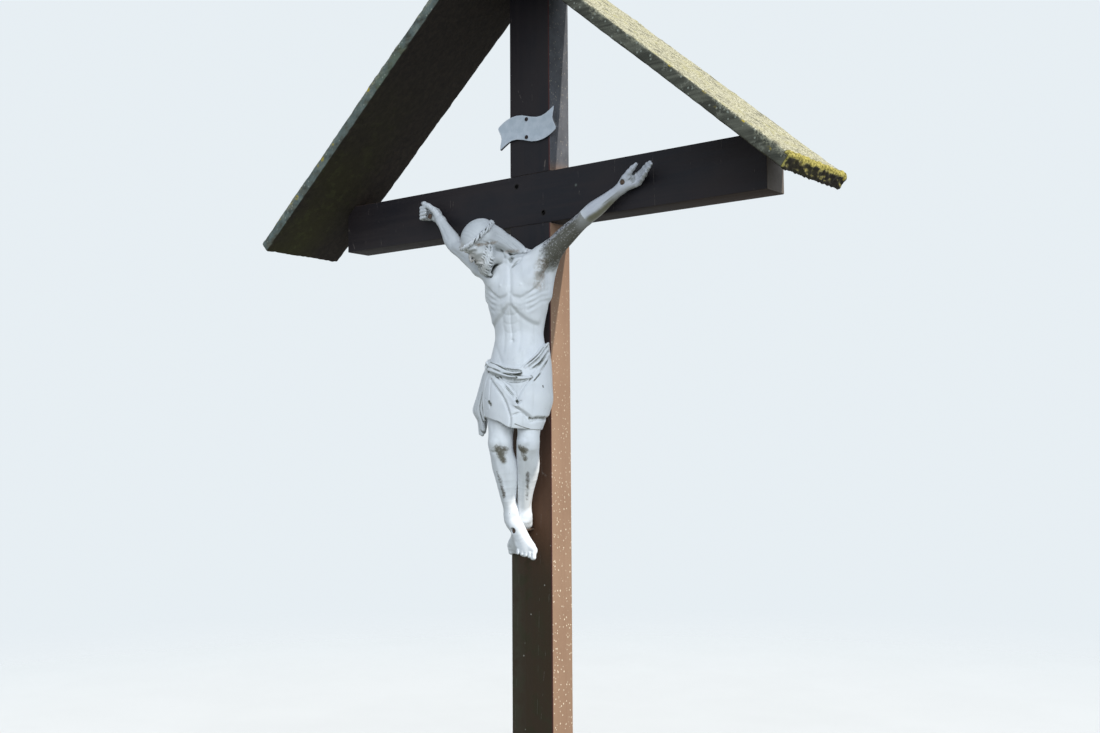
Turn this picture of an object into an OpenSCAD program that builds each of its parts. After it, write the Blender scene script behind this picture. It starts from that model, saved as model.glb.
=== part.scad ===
// Wayside shrine: a painted timber cross on a tall post, with a corpus of
// painted castings under a steep roof of two boards.
// Millimetres. +Z up, the front looks along -Y, +X is to the viewer's right.
// The origin is the centre of the post's foot, at ground level.

/* [Post and crossbeam] */
// Width of the post, seen from the front
post_w = 180; // [140:5:240]
// Depth of the post, from front to back
post_d = 110; // [90:5:160]
// Height of the post, to the point of its gable top
post_h = 3330; // [3150:10:3600]
// Length of the crossbeam
beam_len = 1860; // [1700:10:2000]
// Height of the crossbeam
beam_h = 180; // [140:5:220]
// Drop from the point of the post's gable to the crossbeam's underside
beam_drop = 940; // [900:10:1000]
// Diameter of the countersunk heads of the screws in the lap joint
lap_head_d = 16; // [10:1:24]
// Diameter of the lap screws' shanks
lap_shank_d = 8; // [5:0.5:12]
// Length of the lap screws
lap_screw_len = 90; // [65:5:100]
// Depth to which the lap screws' heads are sunk
lap_sink = 2; // [0:0.5:6]

/* [Roof boards] */
// Slope of the roof boards, in degrees
roof_pitch = 40.5; // [36:0.5:44]
// Long side of each roof board, along the slope
board_len = 1500; // [1350:10:1650]
// Width of the roof boards, from front to back
board_w = 370; // [280:10:460]
// Thickness of the roof boards
board_t = 45; // [30:1:60]

/* [Title scroll] */
// Length of the scroll-shaped plate
plate_len = 250; // [200:5:300]
// Height of the plate, between its two waved edges
plate_h = 86; // [60:2:110]
// Thickness of the plate
plate_t = 10; // [5:1:16]
// Height of the plate's middle above the crossbeam
plate_rise = 163; // [120:1:320]
// Height of the waves in the plate's edges
plate_wave = 13; // [4:1:20]
// Distance between the two screws in the plate
plate_screw_gap = 64; // [40:2:72]
// Diameter of the plate screws' heads
plate_head_d = 14; // [8:1:18]
// Diameter of the plate screws' shanks
plate_shank_d = 5; // [3:0.5:7]
// Length of the plate screws' shanks
plate_screw_len = 45; // [25:5:70]

/* [Figure] */
// Natural height of the corpus, standing
figure_h = 1100; // [900:10:1200]
// Diameter of the nails' shanks
nail_d = 9; // [6:0.5:12]
// Diameter of the nails' heads
nail_head_d = 18; // [14:1:24]
// Depth to which the nails go into the timber
nail_bite = 40; // [20:5:80]
// Clearance between a nail and the casting that it goes through
nail_fit = 0.1; // [0.1:0.1:0.5]

/* [Hidden] */
$fn = 48;
face_y = -post_d / 2;
beam_z = post_h - beam_drop;
plate_z = beam_z + beam_h + plate_rise;
beam_mid_z = beam_z + beam_h / 2;
lap_d = post_d / 2;
lap_x = post_w / 3;
lap_dz = beam_h * 0.3;
board_rise = board_t / cos(roof_pitch);
board_front_y = post_d / 2 - board_w;
plate_x = -6;
far = 4000;
fig_k = figure_h / 1100;
white_paint = "#dfe4ea";
brown_paint = "#33261f";
eps = 0.01;

// Points on a smooth curve through the rows, which may have any number of
// columns; each gap between two rows is divided into steps
function spline(rows, steps) = [
    for (i = [0 : len(rows) - 2], s = [0 : steps - 1])
        let (
            t = s / steps,
            p0 = rows[max(i - 1, 0)],
            p1 = rows[i],
            p2 = rows[i + 1],
            p3 = rows[min(i + 2, len(rows) - 1)]
        )
        0.5 * (2 * p1 + (p2 - p0) * t + (2 * p0 - 5 * p1 + 4 * p2 - p3) * t * t
            + (3 * p1 - p0 - 3 * p2 + p3) * t * t * t),
    rows[len(rows) - 1]
];

function unit(v) = v / norm(v);

// The first three columns of a row: its place
function place(row) = [row[0], row[1], row[2]];

// Direction of a curve at its point i
function course(rows, i) = unit(
    place(rows[min(i + 1, len(rows) - 1)]) - place(rows[max(i - 1, 0)]));

// A closed solid through rings of points that all have as many points
module skin(rings) {
    n = len(rings[0]);
    m = len(rings);
    sides = [
        for (j = [0 : m - 2], i = [0 : n - 1])
            [j * n + i, (j + 1) * n + i, (j + 1) * n + (i + 1) % n, j * n + (i + 1) % n]
    ];
    foot = [for (i = [0 : n - 1]) i];
    top = [for (i = [0 : n - 1]) m * n - 1 - i];
    polyhedron([for (r = rings) each r], concat(sides, [foot, top]));
}

// Level rings stacked from the bottom: rows of x, y, z, half width, half depth, yaw
module stack(rows, n = 24) {
    skin([for (r = rows) relief_ring(r, [for (i = [1 : n]) 0])]);
}

// A limb along rows of x, y, z, half thickness across, half thickness along side
module limb(rows, side, n = 16) {
    skin([
        for (j = [0 : len(rows) - 1])
            let (
                t = course(rows, j),
                u = unit(cross(side, t)),
                v = cross(t, u)
            )
            [
                for (i = [0 : n - 1])
                    place(rows[j]) + rows[j][3] * cos(360 * i / n) * u
                        + rows[j][4] * sin(360 * i / n) * v
            ]
    ]);
}

// A chain of balls, each joined to the next: rows of x, y, z, radius
module chain(rows, facets = 8) {
    for (i = [0 : len(rows) - 2])
        hull() {
            translate(place(rows[i])) sphere(rows[i][3], $fn = facets);
            translate(place(rows[i + 1])) sphere(rows[i + 1][3], $fn = facets);
        }
}

function total(v) = v * [for (x = v) 1];

// A ring at a row's place, x, y, z, half width, half depth, yaw, its points
// moved out or in by a share of their radius for each angle
function relief_ring(r, shares) = [
    for (i = [0 : len(shares) - 1])
        let (
            a = 360 * i / len(shares),
            u = r[3] * (1 + shares[i]) * cos(a),
            v = r[4] * (1 + shares[i]) * sin(a)
        )
        [r[0] + u * cos(r[5]) - v * sin(r[5]), r[1] + u * sin(r[5]) + v * cos(r[5]), r[2]]
];

// Outline of what lies under the two roof boards, seen from the front
module under_roof_2d() {
    half = far / 2;
    polygon([[-half, -eps], [half, -eps], [half, post_h - half * tan(roof_pitch)],
        [0, post_h], [-half, post_h - half * tan(roof_pitch)]]);
}

// A horizontal bore along Y, from depth y0 to depth y1
module bore_y(x, z, y0, y1, d) {
    translate([x, y0, z]) rotate([-90, 0, 0]) cylinder(h = y1 - y0, d = d);
}

// A countersunk screw along Y, its head's face at depth y
module countersunk(x, z, y, head_d, shank_d, length) {
    translate([x, y, z]) rotate([-90, 0, 0]) {
        cylinder(h = (head_d - shank_d) / 2, d1 = head_d, d2 = shank_d);
        cylinder(h = length, d = shank_d);
    }
}

module lap_screw_shape(s) {
    countersunk(s * lap_x, beam_mid_z - s * lap_dz, face_y + lap_sink,
        lap_head_d, lap_shank_d, lap_screw_len);
}

// Room for a lap screw, open to the front above its sunk head
module lap_screw_room(s) {
    lap_screw_shape(s);
    bore_y(s * lap_x, beam_mid_z - s * lap_dz, face_y - 1, face_y + lap_sink, lap_head_d);
}

module plate_screw_shank(s) {
    bore_y(plate_x, plate_z + s * plate_screw_gap / 2, face_y - plate_t,
        face_y - plate_t + plate_screw_len, plate_shank_d);
}

// The post: one timber, notched at the front for the crossbeam, its top cut to
// a gable that carries the roof boards
module post() {
    color(brown_paint)
    difference() {
        translate([0, post_d / 2, 0]) rotate([90, 0, 0]) linear_extrude(post_d)
            intersection() {
                translate([-post_w / 2, 0]) square([post_w, far]);
                translate([0, eps]) under_roof_2d();
            }
        translate([-post_w, face_y - 1, beam_z]) cube([2 * post_w, lap_d + 1, beam_h]);
        for (s = [-1, 1]) {
            lap_screw_room(s);
            plate_screw_shank(s);
        }
        feet_nail_bore();
    }
}

// The crossbeam: halved over the post from the front, its upper corners cut to
// the slope of the roof boards
module crossbeam() {
    color(brown_paint)
    difference() {
        translate([0, post_d / 2, 0]) rotate([90, 0, 0]) linear_extrude(post_d)
            intersection() {
                translate([-beam_len / 2, beam_z]) square([beam_len, beam_h]);
                under_roof_2d();
            }
        translate([-post_w / 2, face_y + lap_d, beam_z - 1]) cube([post_w, post_d, beam_h + 2]);
        for (s = [-1, 1]) {
            lap_screw_room(s);
            hand_nail_bore(s);
        }
    }
}

module lap_screw_upper() {
    color("dimgray") lap_screw_shape(-1);
}

module lap_screw_lower() {
    color("dimgray") lap_screw_shape(1);
}

// A roof board: square at its lower end, mitred at the ridge, on the post's
// gable and the crossbeam's cut corner; s is -1 on the left, 1 on the right
module roof_board(s) {
    color("#6b6355")
    translate([0, board_front_y + board_w, 0]) rotate([90, 0, 0]) linear_extrude(board_w)
        intersection() {
            translate([0, post_h + board_rise]) mirror([s < 0 ? 1 : 0, 0]) rotate(-roof_pitch)
                translate([-board_t, -board_t]) square([board_len + board_t, board_t]);
            translate([s < 0 ? -far : 0, 0]) square([far, 2 * far]);
        }
}

module roof_board_left() {
    roof_board(-1);
}

module roof_board_right() {
    roof_board(1);
}

// Height of the wave in the plate's edges, at a distance from its middle
function wave(x) = -plate_wave * sin(360 * x / (plate_len * 0.82));

// How far the plate's right end reaches at a share of its height
function plate_end(share) = plate_len / 2 - 8 + 8 * cos(300 * share);

// The plate: a scroll with two waved edges and hollowed ends
module title_plate() {
    steps = 24;
    right = [for (i = [0 : 8]) [plate_end(i / 8), i / 8]];
    top = [for (i = [1 : steps - 1]) [plate_end(1) - i / steps * (plate_end(0) + plate_end(1)), 1]];
    half = concat(right, top);
    outline = concat(half, [for (p = half) [-p[0], 1 - p[1]]]);
    color(white_paint)
    difference() {
        translate([plate_x, face_y, plate_z]) rotate([90, 0, 0]) linear_extrude(plate_t)
            polygon([for (p = outline) [p[0], (p[1] - 0.5) * plate_h + wave(p[0])]]);
        for (s = [-1, 1]) plate_screw_shank(s);
    }
}

// A round-headed screw that holds the plate to the post
module plate_screw(s) {
    head_h = plate_head_d * 0.3;
    head_r = (pow(plate_head_d / 2, 2) + head_h * head_h) / (2 * head_h);
    color("#26282b") {
        plate_screw_shank(s);
        translate([plate_x, face_y - plate_t, plate_z + s * plate_screw_gap / 2])
            rotate([90, 0, 0])
            rotate_extrude()
            intersection() {
                translate([0, head_h - head_r]) circle(head_r);
                square([plate_head_d, head_h]);
            }
    }
}

module plate_screw_upper() {
    plate_screw(1);
}

module plate_screw_lower() {
    plate_screw(-1);
}

// The corpus. Its places are in millimetres for a corpus 1100 tall, from the
// point of the crossbeam's front face in the middle of the crossing. Right and
// left are the figure's own: s is -1 on its right, which is the viewer's left.
module on_cross() {
    translate([0, face_y, beam_mid_z]) scale(fig_k) children();
}

// Keeps what lies in front of the timber
module before_timber() {
    intersection() {
        children();
        translate([-600, -600, -1400]) cube([1200, 600, 1600]);
    }
}

neck_base = [-4, -88, -214];
head_at = [-78, -178, -158];
head_turn = [-36, 14, -30];
shoulder = [[-108, -122, -240], [104, -68, -230]];
elbow = [[-283, -72, -147], [276, -47, -105]];
wrist = [[-391, -38, -34], [412, -31, -22]];
palm = [[-440, -19, 0], [455, -18, 2]];
hip = [[-42, -92, -590], [64, -62, -588]];
knee = [[-11, -150, -852], [84, -114, -850]];
ankle = [[-14, -93, -1092], [11, -44, -1092]];
ball = [[26, -64, -1203], [-54, -19, -1204]];
// Directions in which the toes of each foot follow each other, from the big toe
toe_line = [[-0.98, 0, 0.05], [0.9, 0, -0.25]];
// Forms of the body on both halves: angle from the middle of the front, height,
// half width as an angle, half height, share that it stands out, slope
torso_forms = [
    [34, -290, 22, 27, 0.1, 0],
    [0, -296, 10, 58, -0.05, 0],
    [0, -404, 30, 36, -0.08, 0],
    [38, -350, 28, 9, 0.055, 0.8],
    [66, -318, 24, 8, 0.03, 0.4],
    [66, -344, 24, 8, 0.03, 0.4],
    [66, -370, 24, 8, 0.03, 0.4],
    [13, -446, 8, 60, 0.035, 0],
    [0, -510, 34, 36, 0.05, 0],
    [0, -492, 9, 10, -0.06, 0]
];
waist_cut = [12, -75, -556];
waist_tilt = -12;
// Rows of the cloth's girth: height, x, y, half width, half depth
cloth_rows = [
    [-820, 22, -112, 98, 82],
    [-770, 18, -106, 106, 90],
    [-700, 14, -96, 118, 98],
    [-640, 12, -86, 121, 96],
    [-590, 11, -78, 115, 88],
    [-510, 11, -75, 106, 80]
];
// Rings along the cloth's folds, from the top: height at the knot, height at
// the other hip, sag in front, share that the ring stands out
cloth_rings = [
    [-560, -512, 0, 0],
    [-578, -530, 4, 0.02],
    [-590, -544, 16, 0.05],
    [-600, -556, 28, -0.01],
    [-610, -570, 42, 0.05],
    [-622, -586, 54, -0.02],
    [-634, -602, 66, 0.05],
    [-648, -622, 76, -0.02],
    [-664, -644, 84, 0.05],
    [-686, -672, 84, -0.02],
    [-712, -702, 76, 0.035],
    [-744, -740, 50, -0.015],
    [-786, -790, 14, 0],
    [-812, -818, 0, 0.01]
];
hem_z = -800;
hand_nail_at = [[-440, 0, -12], [425, 0, -6]];
foot_nail_at = [7, 0, -1148];
hand_nail_reach = 40;
foot_nail_reach = 96;

function pick(pair, s) = pair[s < 0 ? 0 : 1];

// The head, with hair and beard, looking along -Y with its middle at the crown
module head_solid() {
    face = [
        [0, -34, -98, 8, 8, 0],
        [0, -30, -90, 22, 22, 0],
        [0, -24, -72, 32, 34, 0],
        [0, -16, -48, 40, 46, 0],
        [0, -10, -20, 47, 57, 0],
        [0, -3, 5, 52, 64, 0],
        [0, 2, 30, 49, 60, 0],
        [0, 4, 48, 35, 44, 0],
        [0, 4, 58, 18, 24, 0],
        [0, 4, 61, 4, 5, 0]
    ];
    stack(spline(face, 2), 18);
    chain([[0, -62, -14, 5], [0, -73, -40, 8], [0, -64, -47, 7]]);
    for (s = [-1, 1]) {
        chain([[s * 6, -64, -10, 6], [s * 22, -61, -7, 6], [s * 36, -50, -12, 6]]);
        chain([[s * 22, -49, -24, 10], [s * 26, -46, -26, 9]]);
        chain([[s * 4, -60, -60, 6], [s * 16, -57, -64, 6], [s * 22, -50, -78, 6]]);
        chain([[s * 42, -14, -20, 12], [s * 48, 8, -44, 15], [s * 46, 22, -86, 16], [s * 40, 20, -118, 9]]);
        chain([[s * 7, -56, -86, 12], [s * 6, -60, -106, 8], [s * 3, -60, -120, 3]]);
        chain([[s * 26, -36, -68, 13], [s * 18, -46, -92, 12], [s * 8, -54, -108, 6]]);
    }
    chain([[0, -60, -71, 5], [0, -58, -76, 6]]);
    chain([[0, 34, -34, 34], [0, 32, -78, 28], [0, 26, -112, 13]], 10);
}

module head_pose() {
    translate(head_at) rotate([0, 0, head_turn[2]]) rotate([0, head_turn[1], 0])
        rotate([-head_turn[0], 0, 0]) children();
}

module neck_solid() {
    limb([
        [neck_base[0], neck_base[1], neck_base[2] - 30, 44, 42],
        [neck_base[0] - 2, neck_base[1] - 4, neck_base[2] + 4, 38, 38],
        [neck_base[0] - 22, neck_base[1] - 26, neck_base[2] + 30, 33, 35],
        [neck_base[0] - 44, neck_base[1] - 52, neck_base[2] + 46, 33, 35]
    ], [1, 0, 0], 16);
}

module figure_head() {
    color(white_paint)
    on_cross()
    difference() {
        union() {
            head_pose() head_solid();
            neck_solid();
        }
        torso_solid();
    }
}

// Three canes twisted round each other into a ring, with thorns
module crown_solid() {
    turns = 7;
    rings = 36;
    sides = 5;
    for (c = [0 : 2])
        let (
            line = [
                for (i = [0 : rings - 1])
                    let (
                        a = 360 * i / rings,
                        w = turns * a + 120 * c
                    )
                    [(62 + 5 * cos(w)) * cos(a), (74 + 5 * cos(w)) * sin(a) - 1, 13 + 5 * sin(w)]
            ]
        )
        polyhedron(
            [
                for (i = [0 : rings - 1])
                    let (
                        t = unit(line[(i + 1) % rings] - line[(i + rings - 1) % rings]),
                        u = unit(cross([0, 0, 1], t)),
                        v = cross(t, u)
                    )
                    for (j = [0 : sides - 1])
                        line[i] + 6 * cos(360 * j / sides) * u + 6 * sin(360 * j / sides) * v
            ],
            [
                for (i = [0 : rings - 1], j = [0 : sides - 1])
                    let (
                        i2 = (i + 1) % rings,
                        j2 = (j + 1) % sides
                    )
                    [i * sides + j, i2 * sides + j, i2 * sides + j2, i * sides + j2]
            ]
        );
    for (i = [0 : 13]) {
        a = 360 * i / 14 + 9;
        lean = 24 * sin(i * 150);
        translate([63 * cos(a), 75 * sin(a) - 1, 13])
            rotate([0, 0, a]) rotate([0, 70 - lean, 20 * cos(i * 100)])
            hull() {
                sphere(6.5, $fn = 5);
                translate([0, 0, 20]) sphere(0.8, $fn = 4);
            }
    }
}

module crown_of_thorns() {
    color(white_paint)
    on_cross()
    difference() {
        head_pose() crown_solid();
        head_pose() head_solid();
        torso_solid();
    }
}

// How far the forms of the body stand out at an angle round it and a height;
// 270 degrees is the middle of the front
function torso_relief(a, z) =
    let (b = abs(a - 270))
    total([
        for (f = torso_forms)
            f[4] * exp(-pow((b - f[0]) / f[2], 2) - pow((z - f[1] + f[5] * b) / f[3], 2))
    ]);

module torso_solid() {
    n = 32;
    rows = [
        [12, -78, -640, 100, 76, 16],
        [12, -77, -590, 106, 79, 16],
        [11, -75, -548, 98, 73, 16],
        [9, -71, -510, 89, 66, 17],
        [8, -70, -476, 86, 63, 18],
        [10, -75, -430, 95, 70, 18],
        [12, -80, -385, 107, 78, 18],
        [12, -82, -340, 113, 82, 18],
        [9, -82, -300, 114, 78, 18],
        [4, -84, -262, 112, 70, 17],
        [-2, -86, -236, 98, 58, 15],
        [-4, -86, -214, 70, 46, 10],
        [-4, -86, -198, 44, 40, 0]
    ];
    skin([
        for (r = spline(rows, 2))
            relief_ring(r, [for (i = [0 : n - 1]) torso_relief(360 * i / n, r[2])])
    ]);
    translate([10, -80, 0]) rotate([0, 0, 18])
        for (s = [-1, 1])
            chain([[s * 14, -58, -234, 8], [s * 58, -48, -222, 9], [s * 98, -22, -220, 10]]);
    for (s = [-1, 1])
        hull() {
            translate(pick(shoulder, s)) sphere(42, $fn = 14);
            translate([s * 60, -86, -262]) sphere(46, $fn = 14);
        }
}

module waist_half(s) {
    translate(waist_cut) rotate([0, waist_tilt, 0])
        translate([-400, -400, s < 0 ? -800 : 0]) cube([800, 800, 800]);
}

module figure_torso() {
    color(white_paint)
    on_cross()
    before_timber()
    intersection() {
        torso_solid();
        waist_half(1);
    }
}

// An arm from the shoulder to the wrist
module arm_solid(s) {
    a = pick(shoulder, s);
    b = pick(elbow, s);
    c = pick(wrist, s);
    rows = [
        [each a, 37, 38],
        [each (a * 0.62 + b * 0.38), 33, 36],
        [each (a * 0.25 + b * 0.75), 27, 29],
        [each b, 26, 27],
        [each (b * 0.72 + c * 0.28), 29, 27],
        [each (b * 0.35 + c * 0.65), 23, 22],
        [each c, 18, 17]
    ];
    limb(spline(rows, 2), [0, 1, 0], 14);
    translate(a) sphere(38, $fn = 14);
}

// The viewer's left hand, its fingers curled over the palm
module hand_closed() {
    w = wrist[0];
    p = palm[0];
    chain([[each w, 18], [each (p + [14, 4, -8]), 20], [each p, 18]], 10);
    for (i = [0 : 3])
        let (
            root = p + [-26 - 3 * cos(i * 60), 2, 26 - 13 * i],
            bend = root + [-12, -24, 2],
            tip = bend + [24, -6, -6]
        )
        chain([[each (p + [-4, 2, 10 - 7 * i]), 10], [each root, 8.5], [each bend, 8], [each tip, 7]]);
    chain([[each (w + [-6, -10, 12]), 11], [each (p + [4, -16, 30]), 10], [each (p + [-26, -22, 38]), 7.5]]);
}

// The viewer's right hand, open, the thumb apart and the fingers bent forward
module hand_open() {
    w = wrist[1];
    p = palm[1];
    chain([[each w, 18], [each (p + [-22, 0, -2]), 19], [each (p + [22, 2, 16]), 14]]);
    chain([[each w, 18], [each (p + [-14, 2, -14]), 17], [each (p + [24, 5, -10]), 12]]);
    chain([[each (p + [22, 2, 16]), 14], [each (p + [24, 5, -10]), 12]]);
    for (i = [0 : 3])
        let (
            root = p + [24 + 3 * sin(i * 60), -3, 18 - 10 * i],
            bend = root + [26 - i, -15, 13 + i],
            tip = p + [82 - 3 * i * i, -34 + i, 36 - 3 * i]
        )
        chain([[each root, 9 - 0.5 * i], [each bend, 7.5 - 0.5 * i], [each tip, 5 - 0.3 * i]]);
    chain([[each (w + [4, -6, 12]), 13], [each (p + [-12, -20, 22]), 9], [each (p + [18, -22, 44]), 6]]);
}

module hand_nail_bore(s) {
    on_cross() translate(pick(hand_nail_at, s)) rotate([-90, 0, 0])
        translate([0, 0, -eps]) cylinder(h = nail_bite / fig_k, d = nail_d / fig_k);
}

module arm_casting(s) {
    color(white_paint)
    on_cross()
    difference() {
        before_timber() {
            arm_solid(s);
            if (s < 0) hand_closed();
            else hand_open();
        }
        torso_solid();
        head_clear(s);
        nail_room(pick(hand_nail_at, s), hand_nail_reach);
    }
}

// The hair that falls on the figure's right shoulder
module head_clear(s) {
    if (s < 0) head_pose() head_solid();
}

module figure_arm_right() {
    arm_casting(-1);
}

module figure_arm_left() {
    arm_casting(1);
}

// A cut nail with a domed head, through a casting into the timber
module nail_shape(at, reach) {
    on_cross() translate(at) rotate([90, 0, 0]) {
        translate([0, 0, -nail_bite / fig_k])
            cylinder(h = nail_bite / fig_k + reach, d = nail_d / fig_k);
        translate([0, 0, reach]) cylinder(h = 3, d = nail_head_d / fig_k);
        translate([0, 0, reach + 3])
            cylinder(h = 3, d1 = nail_head_d / fig_k, d2 = nail_head_d * 0.5 / fig_k);
    }
}

// Room for a nail through a casting, and for its head on a flat seat
module nail_room(at, reach) {
    translate(at) rotate([90, 0, 0]) {
        translate([0, 0, -1]) cylinder(h = reach + 2, d = (nail_d + 2 * nail_fit) / fig_k, $fn = 24);
        translate([0, 0, reach]) cylinder(h = 60, d = (nail_head_d + 2 * nail_fit) / fig_k, $fn = 24);
    }
}

module hand_nail_right() {
    color("#4a3c30") nail_shape(hand_nail_at[0], hand_nail_reach);
}

module hand_nail_left() {
    color("#4a3c30") nail_shape(hand_nail_at[1], hand_nail_reach);
}

// The cloth round the hips, with its knot and tail on the viewer's left. Its
// rings run along the folds, which hang from the knot and rise to the other hip.
module cloth_solid() {
    n = 36;
    skin([
        for (j = [len(cloth_rings) - 1 : -1 : 0])
            let (r = cloth_rings[j])
            [
                for (i = [0 : n - 1])
                    let (
                        a = 360 * i / n,
                        t = (1 + cos(a)) / 2,
                        sag = r[2] * 4 * t * (1 - t) * (a > 180 ? 1 : 0.3),
                        z = r[0] + (r[1] - r[0]) * t - sag,
                        w = cloth_girth(z),
                        u = w[2] * (1 + r[3]) * cos(a),
                        v = w[3] * (1 + r[3]) * sin(a)
                    )
                    [w[0] + u * cos(16) - v * sin(16), w[1] + u * sin(16) + v * cos(16), z]
            ]
    ]);
    chain([[-84, -126, -590, 20], [-112, -100, -640, 18], [-148, -92, -730, 22], [-120, -92, -812, 16]]);
    chain([[-88, -140, -600, 16], [-96, -136, -690, 20], [-84, -132, -790, 18]]);
}

// Place and half sizes of the cloth at a height: x, y, half width, half depth
function cloth_girth(z) = [
    for (k = [1 : 4])
        lookup(z, [for (r = cloth_rows) [r[0], r[k]]])
];

module loincloth() {
    color(white_paint)
    on_cross()
    before_timber()
    difference() {
        intersection() {
            cloth_solid();
            waist_half(-1);
        }
        leg_solid(-1, hem_z + 10);
        leg_solid(1, hem_z + 10);
    }
}

// A leg, from a height inside the cloth down to the toes
module leg_solid(s, top_z) {
    a = pick(hip, s);
    b = pick(knee, s);
    c = pick(ankle, s);
    d = pick(ball, s);
    rows = [
        [each a, 60, 62],
        [each (a * 0.5 + b * 0.5), 51, 54],
        [each (a * 0.14 + b * 0.86), 42, 43],
        [each b, 41, 42],
        [each (b * 0.84 + c * 0.16), 37, 40],
        [each (b * 0.62 + c * 0.38 + [0, 7, 0]), 39, 42],
        [each (b * 0.3 + c * 0.7), 29, 32],
        [each c, 23, 27]
    ];
    intersection() {
        union() {
            limb(spline(rows, 2), [0, 1, 0], 16);
            foot_solid(s, c, d);
        }
        translate([-500, -500, top_z - 1000]) cube(1000);
    }
}

// A foot that points down, its sole to the timber, the big toe on the inside
module foot_solid(s, c, d) {
    down = unit(d - c);
    chain([[each (c + [0, 4, 6]), 23], [each (c + [0, 22, -34]), 22]], 10);
    limb([
        [each (c + [0, 0, 20]), 22, 24],
        [each (c + [0, 2, -20]), 26, 27],
        [each (c * 0.5 + d * 0.5), 29, 25],
        [each d, 34, 15],
        [each (d + down * 14), 32, 11]
    ], [0, 1, 0], 14);
    for (i = [0 : 4])
        let (
            size = i == 0 ? 10.5 : 7.6 - 0.4 * i,
            root = d + pick(toe_line, s) * (i * 13 - (i == 0 ? 25 : 27)) + down * (8 - i),
            tip = root + [0, 3, i == 0 ? -24 : 2 * i - 26]
        )
        chain([[each root, size], [each tip, size - 1]]);
}

module feet_nail_bore() {
    on_cross() translate(foot_nail_at) rotate([-90, 0, 0])
        translate([0, 0, -eps]) cylinder(h = nail_bite / fig_k, d = nail_d / fig_k);
}

module leg_casting(s) {
    color(white_paint)
    on_cross()
    difference() {
        before_timber() leg_solid(s, hem_z + 10);
        if (s < 0) leg_solid(1, hem_z + 10);
        nail_room(foot_nail_at, foot_nail_reach);
    }
}

module figure_leg_right() {
    leg_casting(-1);
}

module figure_leg_left() {
    leg_casting(1);
}

module feet_nail() {
    color("#4a3c30") nail_shape(foot_nail_at, foot_nail_reach);
}

post();
crossbeam();
lap_screw_upper();
lap_screw_lower();
roof_board_left();
roof_board_right();
title_plate();
plate_screw_upper();
plate_screw_lower();
figure_head();
crown_of_thorns();
figure_torso();
figure_arm_right();
figure_arm_left();
loincloth();
figure_leg_right();
figure_leg_left();
hand_nail_right();
hand_nail_left();
feet_nail();
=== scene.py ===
import math
from functools import partial
import bpy
import numpy as np
from mathutils import Matrix, Vector


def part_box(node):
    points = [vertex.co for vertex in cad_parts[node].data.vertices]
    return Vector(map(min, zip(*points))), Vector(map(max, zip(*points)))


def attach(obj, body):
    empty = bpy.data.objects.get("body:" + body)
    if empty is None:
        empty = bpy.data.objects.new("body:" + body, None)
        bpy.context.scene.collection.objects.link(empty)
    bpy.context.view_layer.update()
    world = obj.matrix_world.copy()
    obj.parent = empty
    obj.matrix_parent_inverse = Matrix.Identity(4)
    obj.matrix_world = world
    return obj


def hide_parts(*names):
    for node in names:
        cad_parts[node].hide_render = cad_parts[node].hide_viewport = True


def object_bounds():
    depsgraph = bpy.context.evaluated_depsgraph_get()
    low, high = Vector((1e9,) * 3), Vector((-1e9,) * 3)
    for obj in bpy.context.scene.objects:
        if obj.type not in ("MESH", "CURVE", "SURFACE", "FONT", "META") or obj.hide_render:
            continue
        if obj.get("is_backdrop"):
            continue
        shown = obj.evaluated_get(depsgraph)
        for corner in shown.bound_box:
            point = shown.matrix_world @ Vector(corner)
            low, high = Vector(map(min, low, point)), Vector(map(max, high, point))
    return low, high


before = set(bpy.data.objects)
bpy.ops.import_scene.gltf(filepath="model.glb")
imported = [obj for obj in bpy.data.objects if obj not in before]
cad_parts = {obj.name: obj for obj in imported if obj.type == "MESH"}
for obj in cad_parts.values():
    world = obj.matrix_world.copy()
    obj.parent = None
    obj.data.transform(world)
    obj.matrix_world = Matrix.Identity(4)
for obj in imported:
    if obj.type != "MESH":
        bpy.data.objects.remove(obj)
cad_box = [list(corner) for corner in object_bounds()]

# The camera: at head height, four metres away in front of the shrine and to its right, tilted
# up a little, with a lens that takes in the crossbeam and most of the roof.
eye_at = (2.7105, -3.3964, 1.5913)
eye_yaw, eye_pitch, eye_roll = 38.158, 4.002, -0.353
lens = bpy.data.cameras.new("eye")
lens.sensor_fit = "HORIZONTAL"
lens.sensor_width = 36
lens.lens = 40.62
eye = bpy.data.objects.new("eye", lens)
eye.matrix_world = (
    Matrix.Translation(eye_at)
    @ Matrix.Rotation(math.radians(eye_yaw), 4, "Z")
    @ Matrix.Rotation(math.radians(90 + eye_pitch), 4, "X")
    @ Matrix.Rotation(math.radians(eye_roll), 4, "Z")
)
bpy.context.scene.collection.objects.link(eye)
bpy.context.scene.camera = eye
bpy.context.scene.view_settings.view_transform = "Standard"


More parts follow.
